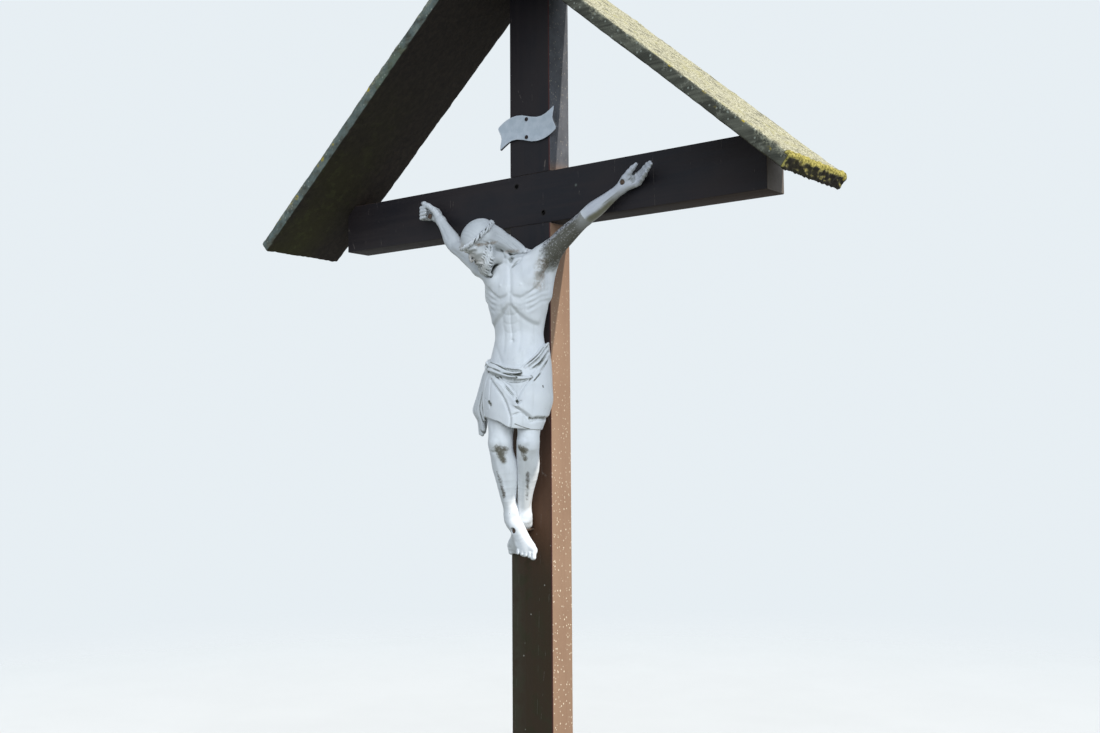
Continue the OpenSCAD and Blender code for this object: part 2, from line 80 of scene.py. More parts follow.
# The post and the crossbeam: two sawn timbers, halved over each other and painted near black.
# The post's top is cut to a gable and the beam's upper corners to the slope of the roof. Their
# right sides are painted lighter, as sun-bleached paint and as painted sunlight; the fronts stay
# dark, darkest towards the top, and the beam's underside is painted darker as painted shade.
class Wire:
    """A socket in a finish; Python's operators on it add the Math nodes."""

    def __init__(self, finish, socket):
        self.finish = finish
        self.socket = socket

    def math(self, operation, *values):
        return self.finish.node("Math", {"operation": operation}, dict(enumerate(values)))

    def __add__(self, other):
        return self.math("ADD", self, other)

    def __sub__(self, other):
        return self.math("SUBTRACT", self, other)

    def __rsub__(self, other):
        return self.math("SUBTRACT", other, self)

    def __mul__(self, other):
        return self.math("MULTIPLY", self, other)

    __radd__ = __add__
    __rmul__ = __mul__

    def clamped(self):
        return self.math("MAXIMUM", self.math("MINIMUM", self, 1.0), 0.0)

    def ramp(self, low, high):
        """0 below low, 1 above high and smooth between; low may be the greater of the two."""
        settings = {"interpolation_type": "SMOOTHSTEP"}
        low, high, start, end = (low, high, 0.0, 1.0) if low < high else (high, low, 1.0, 0.0)
        sockets = {"Value": self, "From Min": low, "From Max": high, "To Min": start, "To Max": end}
        return self.finish.node("MapRange", settings, sockets)


class Finish:
    """A material of the shrine, built node by node."""

    def __init__(self, name, constants=()):
        self.material = bpy.data.materials.new(name)
        self.material.use_nodes = True
        self.tree = self.material.node_tree
        self.shader = self.tree.nodes["Principled BSDF"]
        for socket, value in constants:
            self.shader.inputs[socket].default_value = value
        self.place = self.node("TexCoord", {}, {}, "Object")
        self.x, self.y, self.z = self.parts(self.place)

    def node(self, kind, settings, sockets, output=0):
        made = self.tree.nodes.new("ShaderNode" + kind)
        for key, value in settings.items():
            setattr(made, key, value)
        for key, value in sockets.items():
            if isinstance(value, Wire):
                self.tree.links.new(value.socket, made.inputs[key])
            else:
                made.inputs[key].default_value = value
        return Wire(self, made.outputs[output])

    def parts(self, vector):
        first = self.node("SeparateXYZ", {}, {0: vector})
        return [Wire(self, socket) for socket in first.socket.node.outputs]

    def stretched(self, scale, turn=(0, 0, 0)):
        """Object coordinates, scaled along the three axes after a turn."""
        return self.node("Mapping", {}, {"Vector": self.place, "Scale": scale, "Rotation": turn})

    def distance(self, point):
        """How far a point is, in metres."""
        return self.node("VectorMath", {"operation": "DISTANCE"}, {0: self.place, 1: point}, "Value")

    def noise(self, size, detail=4, rough=0.55, at=None, warp=0.0):
        """Cloudy values round 0.5; size is that of the largest clouds, in metres."""
        sockets = {"Vector": at or self.place, "Scale": 1 / size, "Detail": detail}
        sockets |= {"Roughness": rough, "Distortion": warp}
        return self.node("TexNoise", {}, sockets)

    def cells(self, size, feature="F1", at=None, output="Distance"):
        sockets = {"Vector": at or self.place, "Scale": 1 / size}
        return self.node("TexVoronoi", {"feature": feature}, sockets, output)

    def specks(self, size, radius, share):
        """Round specks of one size, with only a share of the cells having one."""
        near = self.cells(size).ramp(radius * 1.15, radius * 0.75)
        picked = self.parts(self.cells(size, output="Color"))[0]
        return near * picked.ramp(1 - share, 1 - share + 0.01)

    def mix(self, share, first, second):
        """The first colour under a share of the second."""
        first, second = (c if isinstance(c, Wire) else (*c, 1.0) for c in (first, second))
        made = self.node("Mix", {"data_type": "RGBA"}, {0: share, 6: first, 7: second})
        return Wire(self, made.socket.node.outputs[2])

    def layers(self, base, *coats):
        """A base colour under coats, each a share and a colour."""
        for share, colour in coats:
            base = self.mix(share, base, colour)
        return base

    def facing(self):
        """The object-space normal's three parts."""
        return self.parts(self.node("TexCoord", {}, {}, "Normal"))

    def attribute(self, name):
        return self.node("Attribute", {"attribute_name": name}, {}, "Fac")

    def close(self, colour, rough, height=None, relief=0.001, strength=1.0):
        """Joins colour, roughness and a height in shares of the relief to the shader."""
        self.tree.links.new(colour.socket, self.shader.inputs["Base Color"])
        if isinstance(rough, Wire):
            self.tree.links.new(rough.socket, self.shader.inputs["Roughness"])
        else:
            self.shader.inputs["Roughness"].default_value = rough
        if height is not None:
            sockets = {"Height": height, "Distance": relief, "Strength": strength}
            bump = self.node("Bump", {}, sockets)
            self.tree.links.new(bump.socket, self.shader.inputs["Normal"])
        return self.material


def alone(piece=None):
    """Deselects everything, then selects one piece if it is given."""
    if bpy.context.object and bpy.context.object.mode == "EDIT":
        bpy.ops.object.mode_set(mode="OBJECT")
    bpy.ops.object.select_all(action="DESELECT")
    if piece is not None:
        piece.select_set(True)
        bpy.context.view_layer.objects.active = piece


def settle(piece):
    """Puts the piece's place, turn and size into its mesh."""
    alone(piece)
    bpy.ops.object.transform_apply(location=True, rotation=True, scale=True)


def block(name, low, high):
    """A cube from its lowest to its highest corner."""
    alone()
    middle = [(a + b) / 2 for a, b in zip(low, high)]
    bpy.ops.mesh.primitive_cube_add(size=1, location=middle)
    piece = bpy.context.object
    piece.name = piece.data.name = name
    piece.scale = [b - a for a, b in zip(low, high)]
    settle(piece)
    return piece


def saw(piece, point, normal):
    """Cuts off what lies beyond a plane, and closes the cut."""
    alone(piece)
    bpy.ops.object.mode_set(mode="EDIT")
    bpy.ops.mesh.select_all(action="SELECT")
    bpy.ops.mesh.bisect(plane_co=point, plane_no=normal, use_fill=True, clear_outer=True)
    bpy.ops.object.mode_set(mode="OBJECT")


def finish_with(piece, kind, **settings):
    """Adds a modifier with its settings and applies it."""
    alone(piece)
    modifier = piece.modifiers.new(kind.lower(), kind)
    for key, value in settings.items():
        setattr(modifier, key, value)
    bpy.ops.object.modifier_apply(modifier=modifier.name)


def cut_with(piece, *cutters):
    """Takes the cutters' room out of the piece, and removes the cutters."""
    for cutter in cutters:
        finish_with(piece, "BOOLEAN", operation="DIFFERENCE", solver="EXACT", object=cutter)
        bpy.data.objects.remove(cutter)


def dowel(name, x, z, y_front, y_back, radius, sides=32):
    """A round bar from front to back."""
    alone()
    bpy.ops.mesh.primitive_cylinder_add(
        vertices=sides, radius=radius, depth=y_back - y_front,
        location=(x, (y_front + y_back) / 2, z), rotation=(math.pi / 2, 0, 0),
    )
    piece = bpy.context.object
    piece.name = piece.data.name = name
    settle(piece)
    return piece


def round_box(node):
    """Of a round piece that lies front to back: middle x and z, front, back and radius."""
    low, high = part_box(node)
    middle = (low + high) / 2
    return middle.x, middle.z, low.y, high.y, (high.x - low.x) / 2


def belongs(piece, material, node):
    """The piece takes the place of its node, in its finish."""
    piece.data.materials.clear()
    piece.data.materials.append(material)
    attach(piece, "root")
    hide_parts(node)


def gabled(piece):
    """Saws the roof's two slopes off the top of a timber."""
    for side_sign in (-1, 1):
        slope = (side_sign * math.sin(roof_pitch), 0, math.cos(roof_pitch))
        saw(piece, (0, 0, post_high.z), slope)


def smoothed(piece, angle):
    """Smooths the shading, apart from edges sharper than the angle."""
    alone(piece)
    bpy.ops.object.shade_smooth_by_angle(angle=angle)


def eased(piece, *wells):
    """Rounds a timber's arrises, then sinks its screw wells."""
    finish_with(piece, "BEVEL", width=arris, segments=3, limit_method="ANGLE", angle_limit=0.6)
    cut_with(piece, *wells)
    smoothed(piece, 0.7)


post_low, post_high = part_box("post")
beam_low, beam_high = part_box("crossbeam")
face_y = post_low.y
roof_pitch = math.radians(40.5)
arris = 0.0028
saw_room = 0.01
pale_spot_at = (0.202, face_y, 2.503)
lap_screws = ("lap_screw_upper", "lap_screw_lower")

timber = Finish("timber_paint", [("Specular IOR Level", 0.2)])
n_x, n_y, n_z = timber.facing()
front = n_y.ramp(-0.5, -0.8)
sunny = n_x.ramp(0.45, 0.85)
below = n_z.ramp(-0.5, -0.8)
on_beam = timber.z.ramp(2.385, 2.389) * timber.z.ramp(2.575, 2.571)
off_beam = 1 - on_beam
grain = timber.noise(0.02, 6, 0.6, timber.stretched((1, 1, 0.045)), 0.4)
grain = timber.mix(on_beam, grain, timber.noise(0.02, 6, 0.6, timber.stretched((0.045, 1, 1)), 0.4))
grain = timber.parts(grain)[0]
cloud = timber.noise(0.35, 5)
mottle = timber.noise(0.06, 6, 0.65)
low_front = timber.z.ramp(1.75, 1.1) * front
algae = (mottle.ramp(0.46, 0.62) * timber.noise(0.2, 3).ramp(0.42, 0.6) * low_front).clamped()
left_strip = timber.x.ramp(-0.02, -0.075) * front * timber.z.ramp(1.9, 1.3) * mottle.ramp(0.3, 0.6)
flecks = timber.specks(0.019, 0.17, 0.8) + timber.specks(0.013, 0.20, 0.5)
flecks = flecks * timber.noise(0.005, 3).ramp(0.40, 0.50)
more_low = timber.z.ramp(2.3, 0.9) * 0.7 + 0.3
flecks = (flecks * sunny * cloud.ramp(0.25, 0.45) * more_low * off_beam).clamped()
few = (timber.specks(0.03, 0.09, 0.25) * front * timber.z.ramp(1.6, 1.0)).clamped()
scratch = timber.cells(0.12, "DISTANCE_TO_EDGE", at=timber.stretched((1, 1, 0.12), (0, 0.25, 0.3)))
scratch = scratch.ramp(0.006, 0.002) * front * mottle.ramp(0.52, 0.6)
edge_line = timber.x.ramp(post_high.x - 0.007, post_high.x - 0.003) * front * off_beam
dust = timber.z.ramp(0.22, 0.0) * mottle.ramp(0.25, 0.65)
# the screw wells and their rims painted near black: painted shade in the recesses
sunk = 0
for node in lap_screws:
    x, z = round_box(node)[:2]
    sunk = sunk + timber.distance((x, face_y, z)).ramp(0.0125, 0.0105)
spot = (timber.distance(pale_spot_at) + mottle * 0.01).ramp(0.013, 0.006)
dark = timber.mix(cloud.ramp(0.35, 0.65), (0.011, 0.011, 0.015), (0.021, 0.017, 0.019))
dark = timber.mix(grain.ramp(0.35, 0.75) * 0.4, dark, (0.034, 0.027, 0.027))
faded = timber.mix(grain, (0.070, 0.034, 0.017), (0.105, 0.050, 0.026))
damp = timber.mix(grain, (0.024, 0.015, 0.007), (0.036, 0.022, 0.010))
dark_front = timber.layers(dark, (timber.z.ramp(2.2, 1.3) * 0.9, faded), (timber.z.ramp(1.38, 1.12), damp))
# the faces turned to the right: sun-bleached tan paint, painted lighter still as painted sunlight, greyer
# above the beam and on the beam's end
bleached_and_sunlit = timber.layers(
    timber.mix(cloud.ramp(0.3, 0.7), (0.265, 0.162, 0.103), (0.315, 0.200, 0.130)),
    (grain.ramp(0.45, 0.8) * 0.35, (0.24, 0.14, 0.10)),
    (
        timber.z.ramp(2.55, 2.62),
        timber.mix(mottle.ramp(0.3, 0.7), (0.085, 0.088, 0.098), (0.14, 0.143, 0.158)),
    ),
    (on_beam, (0.17, 0.14, 0.12)),
)
# the beam's underside painted darker, most of all near the post: painted shade
beam_under_shade = timber.mix(timber.x.ramp(0.9, 0.35), (0.05, 0.036, 0.03), (0.03, 0.025, 0.023))
colour = timber.layers(
    timber.mix(mottle, (0.075, 0.05, 0.04), (0.11, 0.075, 0.06)),
    (front, dark_front),
    (sunny, bleached_and_sunlit),
    (below * on_beam, beam_under_shade),
    (algae * 0.6, (0.035, 0.034, 0.018)),
    (left_strip * 0.6, (0.052, 0.050, 0.032)),
    (few, (0.30, 0.28, 0.24)),
    (scratch * 0.5, (0.20, 0.17, 0.15)),
    (flecks * 0.9, (0.80, 0.68, 0.52)),
    (edge_line * 0.8, (0.085, 0.025, 0.022)),
    (spot * 0.8, (0.13, 0.145, 0.13)),
    (sunk.clamped(), (0.012, 0.010, 0.010)),
    (dust * 0.6, (0.19, 0.15, 0.11)),
)
rough = grain.ramp(0.3, 0.8) * 0.15 + 0.5 + flecks * 0.3 + algae * 0.25 + below * 0.4
height = grain * 0.6 + mottle * 0.35 + flecks * 0.5 - scratch * 0.5
timber_paint = timber.close(colour, rough, height, 0.0009)

post = block("post_dressed", post_low, post_high)
gabled(post)
notch = block("notch", (-0.2, face_y - saw_room, beam_low.z), (0.2, 0, beam_high.z))
cut_with(post, notch)
eased(post)
belongs(post, timber_paint, "post")

beam = block("crossbeam_dressed", beam_low, beam_high)
gabled(beam)
lap_low, lap_high = beam_low.z - saw_room, beam_high.z + saw_room
cut_with(beam, block("lap", (post_low.x, 0, lap_low), (post_high.x, 0.1, lap_high)))
wells = []
for node in lap_screws:
    x, z, head_y, back_y, radius = round_box(node)
    wells.append(dowel("well", x, z, face_y - saw_room, head_y, radius))
eased(beam, *wells)
belongs(beam, timber_paint, "crossbeam")

# The two screws of the lap joint: countersunk, slotted, sunk under the beam's face and painted
# over with it, so that only two small dark wells show.
screw = Finish("screw_steel", [("Metallic", 0.8)])
patch = screw.noise(0.006, 5, 0.6)
colour = screw.mix(patch.ramp(0.45, 0.65), (0.022, 0.018, 0.019), (0.05, 0.032, 0.025))
screw_steel = screw.close(colour, patch.ramp(0.3, 0.7) * 0.3 + 0.4, patch, 0.0003)


def slotted(node, y_face, radius, depth, shank=0, length=0):
    """A screw with a slot: its head drawn in behind to a shank, or domed where none is given."""
    x, z = round_box(node)[:2]
    domed = not shank
    slot_half, slot_long = radius * 0.13, radius * 1.2
    head = dowel(node + "_dressed", x, z, y_face, y_face + depth, radius)
    bpy.ops.object.mode_set(mode="EDIT")
    bpy.ops.mesh.select_all(action="DESELECT")
    bpy.ops.object.mode_set(mode="OBJECT")
    drawn = y_face if domed else y_face + depth
    for face in head.data.polygons:
        face.select = abs(face.center.y - drawn) < 1e-5 and abs(face.normal.y) > 0.9
    bpy.ops.object.mode_set(mode="EDIT")
    if domed:
        for share in (0.92, 0.78, 0.6):
            bpy.ops.mesh.inset(thickness=radius * 0.14)
            bpy.ops.transform.translate(value=(0, -depth * (share - 0.4), 0))
    else:
        bpy.ops.transform.resize(value=(shank / radius,) * 3, center_override=(x, drawn, z))
        bpy.ops.mesh.extrude_region_move(
            TRANSFORM_OT_translate={"value": (0, length - depth, 0)}
        )
    bpy.ops.object.mode_set(mode="OBJECT")
    front_y = min(v.co.y for v in head.data.vertices)
    slot_room = block(
        "slot_room",
        (x - slot_half, front_y - 0.001, z - slot_long),
        (x + slot_half, front_y + depth * 0.3, z + slot_long),
    )
    turn = Matrix.Translation((x, 0, z)) @ Matrix.Rotation(0.5 + 9 * x, 4, "Y")
    slot_room.data.transform(turn @ Matrix.Translation((-x, 0, -z)))
    cut_with(head, slot_room)
    smoothed(head, 0.6)
    belongs(head, screw_steel, node)


for node in lap_screws:
    x, z, front_y, back_y, radius = round_box(node)
    slotted(node, front_y, radius - 0.0003, depth=0.004, shank=0.004, length=back_y - front_y)

# The roof boards: two thick boards mitred at the ridge and long unpainted. Lichen has crusted
# their tops and edges, and cushions of moss sit on the lower end of the one in the sun.
board_t, board_len = 0.045, 1.5
net_size = 0.0052
crust_rise, moss_rise, nibble_depth = 0.0032, 0.0075, 0.008
ridge_z = post_high.z + board_t / math.cos(roof_pitch)
board_low, board_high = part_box("roof_board_right")


def lumps(at, size, seed):
    """Heights of rounded lumps, 0 to 1, from the distance to jittered points of a grid."""
    at = at / size
    cell = np.floor(at).astype(int)
    best = np.full(len(at), 9.0)
    for step in np.ndindex(3, 3, 3):
        near = cell + np.array(step) - 1
        mixed = (near * [73856093, 19349663, 83492791]).sum(1) + seed * 2654435761
        jitter = np.stack([((mixed // 7 ** k) % 1009) / 1009 for k in (1, 3, 5)], 1)
        best = np.minimum(best, ((at - near - jitter) ** 2).sum(1))
    return np.clip(1 - np.sqrt(best), 0, 1)


def waves(at, size, seed):
    """Smooth random heights round 0, the sum of plane waves."""
    count = 40
    source = np.random.default_rng(seed)
    ways = source.normal(size=(count, 3)) * (2 * math.pi / size) * 0.4
    return np.cos(at @ ways.T + source.uniform(0, 6.28, count)).sum(1) / math.sqrt(count / 2)


def at_vertices(mesh, name):
    """Places or normals of a mesh's vertices, one row each."""
    values = np.empty(len(mesh.vertices) * 3)
    mesh.vertices.foreach_get(name, values)
    return values.reshape(-1, 3)


def keep_values(mesh, name, values):
    """Stores one value for each vertex, for the finish to read."""
    layer = mesh.attributes.new(name, "FLOAT", "POINT")
    layer.data.foreach_set("value", values.astype(np.float32))


for node, side_sign in (("roof_board_left", -1), ("roof_board_right", 1)):
    in_sun = side_sign > 0
    board_ends = (-board_t, board_low.y, -board_t), (board_len, board_high.y, 0)
    board = block(node + "_weathered", *board_ends)
    finish_with(board, "BEVEL", width=0.004, segments=2)
    finish_with(board, "REMESH", mode="VOXEL", voxel_size=net_size)
    finish_with(board, "SMOOTH", factor=0.5, iterations=2)
    mesh = board.data
    co, normal = at_vertices(mesh, "co"), at_vertices(mesh, "normal")
    seed = 5 + side_sign
    top = np.clip(normal[:, 2] * 2 - 0.6, 0, 1)
    end = np.clip(normal[:, 0] * 2 - 0.6, 0, 1) * (co[:, 0] > board_len - 0.05)
    near_top = np.clip(1 + co[:, 2] / 0.03, 0, 1)
    crust = lumps(co, 0.011, seed) * 0.6 + lumps(co, 0.023, seed + 3) * 0.8
    patchy = np.clip(waves(co, 0.12, seed) * 0.5 + 0.6, 0, 1)
    growth = top * (0.35 + 0.65 * patchy) + (1 - top) * near_top * patchy * 0.55
    cushions = np.clip(lumps(co, 0.020, seed + 8) * 1.5 - 0.3, 0, 1)
    cushions = np.maximum(cushions, np.clip(lumps(co, 0.013, seed + 9) * 1.4 - 0.35, 0, 1) * 0.8)
    moss = np.clip(end * 1.2 + top * (co[:, 0] > board_len - 0.02), 0, 1) * (1 if in_sun else 0.35)
    raised = growth * crust * crust_rise + moss * cushions * moss_rise
    raised += waves(co, 0.03, seed + 1) * 0.0003 + waves(co, 0.4, seed + 2) * 0.0008
    nibbled = np.clip(lumps(co, 0.05, seed + 5) - 0.55, 0, 1) * (np.abs(normal).max(1) < 0.9)
    raised -= nibbled * nibble_depth
    co += normal * raised[:, None]
    mesh.vertices.foreach_set("co", co.ravel())
    keep_values(mesh, "moss", moss * cushions)
    keep_values(mesh, "crust", growth * crust)
    mesh.transform(Matrix.Translation((0, 0, ridge_z)) @ Matrix.Rotation(roof_pitch, 4, "Y"))
    saw(board, (0.0002, 0, 0), (-1, 0, 0))
    if not in_sun:
        mesh.transform(Matrix.Diagonal((-1, 1, 1, 1)))
        mesh.flip_normals()
    alone(board)
    bpy.ops.object.shade_smooth()
    wood = Finish("roof_boards_" + ("right" if in_sun else "left"), [("Specular IOR Level", 0.25)])
    n_z = wood.facing()[2]
    upper, under = n_z.ramp(0.35, 0.65), n_z.ramp(-0.35, -0.65)
    moss_here = wood.attribute("moss")
    crust_here = wood.attribute("crust")
    along = wood.stretched((0.06, 1, 1), (0, -side_sign * roof_pitch, 0))
    grain = wood.noise(0.016, 6, 0.6, along, 0.3)
    fine = wood.noise(0.006, 4, 0.6)
    blotch = wood.noise(0.045, 6, 0.65)
    wide = wood.noise(0.25, 4)
    speck = wood.cells(0.009).ramp(0.55, 0.25)
    yellow = wood.specks(0.03, 0.36, 0.4) * blotch.ramp(0.42, 0.55)
    pale = wood.mix(fine.ramp(0.38, 0.62), (0.16, 0.15, 0.09), (0.52, 0.49, 0.35))
    pale = wood.layers(
        pale,
        (speck * 0.5, (0.62, 0.59, 0.45)),
        (blotch.ramp(0.52, 0.66) * 0.55, (0.36, 0.33, 0.13)),
        (blotch.ramp(0.47, 0.36) * 0.75, (0.10, 0.095, 0.065)),
    )
    edge = wood.mix(grain.ramp(0.35, 0.7), (0.054, 0.054, 0.042), (0.15, 0.15, 0.115))
    if not in_sun:
        edge = wood.mix(blotch.ramp(0.35, 0.6), edge, (0.13, 0.165, 0.155))
        edge = wood.mix(wide.ramp(0.5, 0.65) * 0.6, edge, (0.14, 0.17, 0.07))
    edge = wood.layers(
        edge,
        (crust_here.ramp(0.08, 0.3) * fine.ramp(0.4, 0.6) * 0.85, (0.33, 0.32, 0.23)),
        (blotch.ramp(0.52, 0.62) * fine.ramp(0.42, 0.56) * 0.6, (0.24, 0.24, 0.19)),
        (wood.specks(0.012, 0.3, 0.3) * 0.7, (0.34, 0.36, 0.30)),
        (yellow * crust_here.ramp(0.02, 0.2), (0.48, 0.36, 0.035)),
    )
    deep = wood.mix(grain.ramp(0.3, 0.75), (0.012, 0.009, 0.007), (0.030, 0.023, 0.017))
    reach = wood.x * side_sign
    green = (reach.ramp(0.35, 1.0) * wood.y.ramp(-0.02, -0.2) * wide.ramp(0.25, 0.65)).clamped()
    deep = wood.layers(
        deep,
        (green * 0.85, (0.036, 0.033, 0.012)),
        (green * blotch.ramp(0.5, 0.65) * 0.6, (0.062, 0.064, 0.024)),
    )
    colour = wood.layers(edge, (upper, pale), (under, deep))
    moss_tint = wood.mix(fine.ramp(0.38, 0.62), (0.13, 0.11, 0.02), (0.46, 0.39, 0.11))
    moss_tint = wood.mix(moss_here.ramp(0.22, 0.04), moss_tint, (0.05, 0.042, 0.015))
    moss_mask = (reach.ramp(0.985, 1.0) if in_sun else moss_here.ramp(0.05, 0.3)) * (1 - under)
    end_face = moss_here.ramp(0.0, 0.04)
    colour = wood.mix((moss_mask * end_face).clamped(), colour, moss_tint)
    height = fine * 0.8 + grain * 0.5 + speck * 0.4 * upper
    belongs(board, wood.close(colour, 0.9, height, 0.0014), node)

# The title plate: cast as a waved scroll with hollowed ends, enamelled pale grey on the front,
# its edge painted near black as painted shade, and held to the post by two round-headed screws.
plate_low, plate_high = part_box("title_plate")
plate_x, plate_z = -0.006, (plate_low.z + plate_high.z) / 2
rim_width, rim_drop, lip_width, lip_rise = 0.0022, 0.0006, 0.003, 0.0005
half_scroll = [
    (0.122, 0.060), (0.1205, 0.044), (0.1175, 0.032), (0.1155, 0.020), (0.1185, 0.008),
    (0.1245, -0.004), (0.1305, -0.016), (0.1295, -0.023), (0.118, -0.031), (0.102, -0.040),
    (0.085, -0.0465), (0.066, -0.051), (0.045, -0.0525), (0.022, -0.050), (0.0, -0.044),
    (-0.022, -0.0375), (-0.045, -0.033), (-0.066, -0.0335), (-0.085, -0.039), (-0.102, -0.048),
]
alone()
bpy.ops.mesh.primitive_circle_add(vertices=2 * len(half_scroll), radius=0.1, fill_type="NGON")
plate = bpy.context.object
plate.name = plate.data.name = "title_plate_enamelled"
scroll = half_scroll + [(-x, -z) for x, z in half_scroll]
for vertex, (x, z) in zip(plate.data.vertices, scroll):
    vertex.co = (plate_x + x, plate_high.y, plate_z + z)
bpy.ops.object.mode_set(mode="EDIT")
bpy.ops.mesh.select_all(action="SELECT")
bpy.ops.mesh.subdivide(number_cuts=2, smoothness=1.0)
bpy.ops.mesh.select_all(action="SELECT")
bpy.ops.mesh.extrude_region_move(
    TRANSFORM_OT_translate={"value": (0, plate_low.y - plate_high.y + rim_drop, 0)}
)
bpy.ops.mesh.inset(thickness=rim_width)
bpy.ops.transform.translate(value=(0, -rim_drop, 0))
bpy.ops.mesh.inset(thickness=lip_width)
bpy.ops.transform.translate(value=(0, lip_rise, 0))
bpy.ops.mesh.select_all(action="SELECT")
bpy.ops.mesh.normals_make_consistent(inside=False)
bpy.ops.object.mode_set(mode="OBJECT")
bpy.ops.object.shade_smooth_by_angle(angle=0.5)
enamel = Finish("plate_enamel")
front = enamel.facing()[1].ramp(-0.55, -0.9)
film = enamel.noise(0.03, 5, 0.6)
runs = enamel.noise(0.008, 5, 0.6, enamel.stretched((1, 1, 0.12)))
rim = enamel.y.ramp(plate_low.y + 0.00038, plate_low.y + 0.0001)
# the sides of the plate near black, painted shade on its edge; the front pale grey enamel
colour = enamel.layers(
    enamel.mix(film, (0.014, 0.016, 0.028), (0.03, 0.032, 0.045)),
    (front, enamel.mix(film.ramp(0.35, 0.65), (0.50, 0.56, 0.62), (0.60, 0.65, 0.71))),
    (rim * front * 0.6, (0.62, 0.64, 0.68)),
    (runs.ramp(0.6, 0.75) * front * 0.25, (0.22, 0.22, 0.22)),
)
rough = film.ramp(0.3, 0.8) * 0.2 + 0.28
plate_enamel = enamel.close(colour, rough, runs * 0.3 + film * 0.7, 0.0004)
belongs(plate, plate_enamel, "title_plate")
for node in ("plate_screw_upper", "plate_screw_lower"):
    slotted(node, plate_low.y - 0.0012, round_box(node)[4], depth=0.0026)

# The corpus: hollow castings painted white, each sculpted here as clay, that is a grid of
# distances to the surface, because no primitive gives anatomy, hair or carved folds. Bones,
# eggs and strokes are laid on in order, the surface is netted, and each casting cut at its seam.
corpus_at = np.array((0, face_y, (beam_low.z + beam_high.z) / 2))
coarse = 1.0
mm = 0.001
outside = 40.0
rightward, backward, upward = (1, 0, 0), (0, 1, 0), (0, 0, 1)
hollow_reaches = ((3.0, 0.45), (7.0, 0.35), (14.0, 0.2))


class Touch:
    """One touch of the modeller: fields in their boxes, and how they join the clay."""

    def __init__(self, parts, way="add", soft=6.0):
        self.parts = [(np.array(a, float), np.array(b, float), f) for a, b, f in parts]
        self.low = np.min([a for a, b, f in self.parts], 0)
        self.high = np.max([b for a, b, f in self.parts], 0)
        self.way = way
        self.soft = soft


def span(x, y, z, a, b):
    """Share along a line, and the way off from it along each axis, for all points."""
    way = b - a
    t = ((x - a[0]) * way[0] + (y - a[1]) * way[1] + (z - a[2]) * way[2]) / max(way @ way, 1e-9)
    t = np.clip(t, 0, 1)
    off = [c - p - t * w for c, p, w in zip((x, y, z), a, way)]
    return t, off


def curved(rows, steps=4):
    """A smooth curve through the rows."""
    rows = np.array(rows, float)
    ends = np.vstack([2 * rows[0] - rows[1], rows, 2 * rows[-1] - rows[-2]])
    out = []
    for i in range(1, len(rows)):
        a, b, c, d = ends[i - 1 : i + 3]
        for t in np.arange(steps) / steps:
            bend = 2 * a - 5 * b + 4 * c - d, 3 * b - a - 3 * c + d
            out.append(b + 0.5 * (t * (c - a) + t * t * bend[0] + t**3 * bend[1]))
    return np.array(out + [rows[-1]])


def strand(rows, soft=4.0, way="add", steps=4):
    """A round stroke through rows of x, y, z, radius."""
    rows = curved(rows, steps) if len(rows) > 2 else np.array(rows, float)
    parts = []
    for p, q in zip(rows[:-1], rows[1:]):
        a, b, ra, rb = p[:3], q[:3], p[3], q[3]

        def field(x, y, z, a=a, b=b, ra=ra, rb=rb):
            t, off = span(x, y, z, a, b)
            return np.sqrt(off[0] ** 2 + off[1] ** 2 + off[2] ** 2) - (ra + (rb - ra) * t)

        r = max(ra, rb)
        parts.append((np.minimum(a, b) - r, np.maximum(a, b) + r, field))
    return Touch(parts, way, soft)


def shares(x, y, z, at, axes, radii):
    """Shares of the half sizes that points lie from a place, along three axes."""
    x, y, z = x - at[0], y - at[1], z - at[2]
    return [(x * e[0] + y * e[1] + z * e[2]) / r for e, r in zip(axes, radii)]


def egg(at, radii, axes=(rightward, backward, upward), soft=6.0):
    """An ellipsoid with its half sizes along its axes."""
    at, axes, radii = np.array(at, float), np.array(axes, float), np.array(radii, float)

    def field(x, y, z):
        q = shares(x, y, z, at, axes, radii)
        k0 = np.sqrt(q[0] ** 2 + q[1] ** 2 + q[2] ** 2)
        k1 = np.sqrt(sum((c / r) ** 2 for c, r in zip(q, radii)))
        return k0 * (k0 - 1) / np.maximum(k1, 1e-6)

    reach = np.sqrt(((axes * radii[:, None]) ** 2).sum(0))
    return Touch([(at - reach, at + reach, field)], "add", soft)


def swell(at, radii, amount, axes=(rightward, backward, upward)):
    """Raises the surface round a place, or lowers it where the amount is negative."""
    at, axes, radii = np.array(at, float), np.array(axes, float), np.array(radii, float)

    def field(x, y, z):
        q = shares(x, y, z, at, axes, radii)
        return -amount * np.exp(-(q[0] ** 2 + q[1] ** 2 + q[2] ** 2))

    reach = 2.1 * np.sqrt(((axes * radii[:, None]) ** 2).sum(0))
    return Touch([(at - reach, at + reach, field)], "move", 0)


def groove(rows, width, depth):
    """A line drawn into the surface, or a welt where the depth is negative; its ends taper."""
    rows = curved(rows) if len(rows) > 2 else np.array(rows, float)
    low, high = rows.min(0) - 2.2 * width, rows.max(0) + 2.2 * width

    def field(x, y, z):
        best = None
        for i, (a, b) in enumerate(zip(rows[:-1], rows[1:])):
            t, off = span(x, y, z, a, b)
            along = (i + t) / (len(rows) - 1)
            near = np.exp(-(off[0] ** 2 + off[1] ** 2 + off[2] ** 2) / width**2)
            near = near * np.minimum(1, np.minimum(along, 1 - along) * 5 + 0.15)
            best = near if best is None else np.maximum(best, near)
        return depth * best

    return Touch([(low, high, field)], "move", 0)


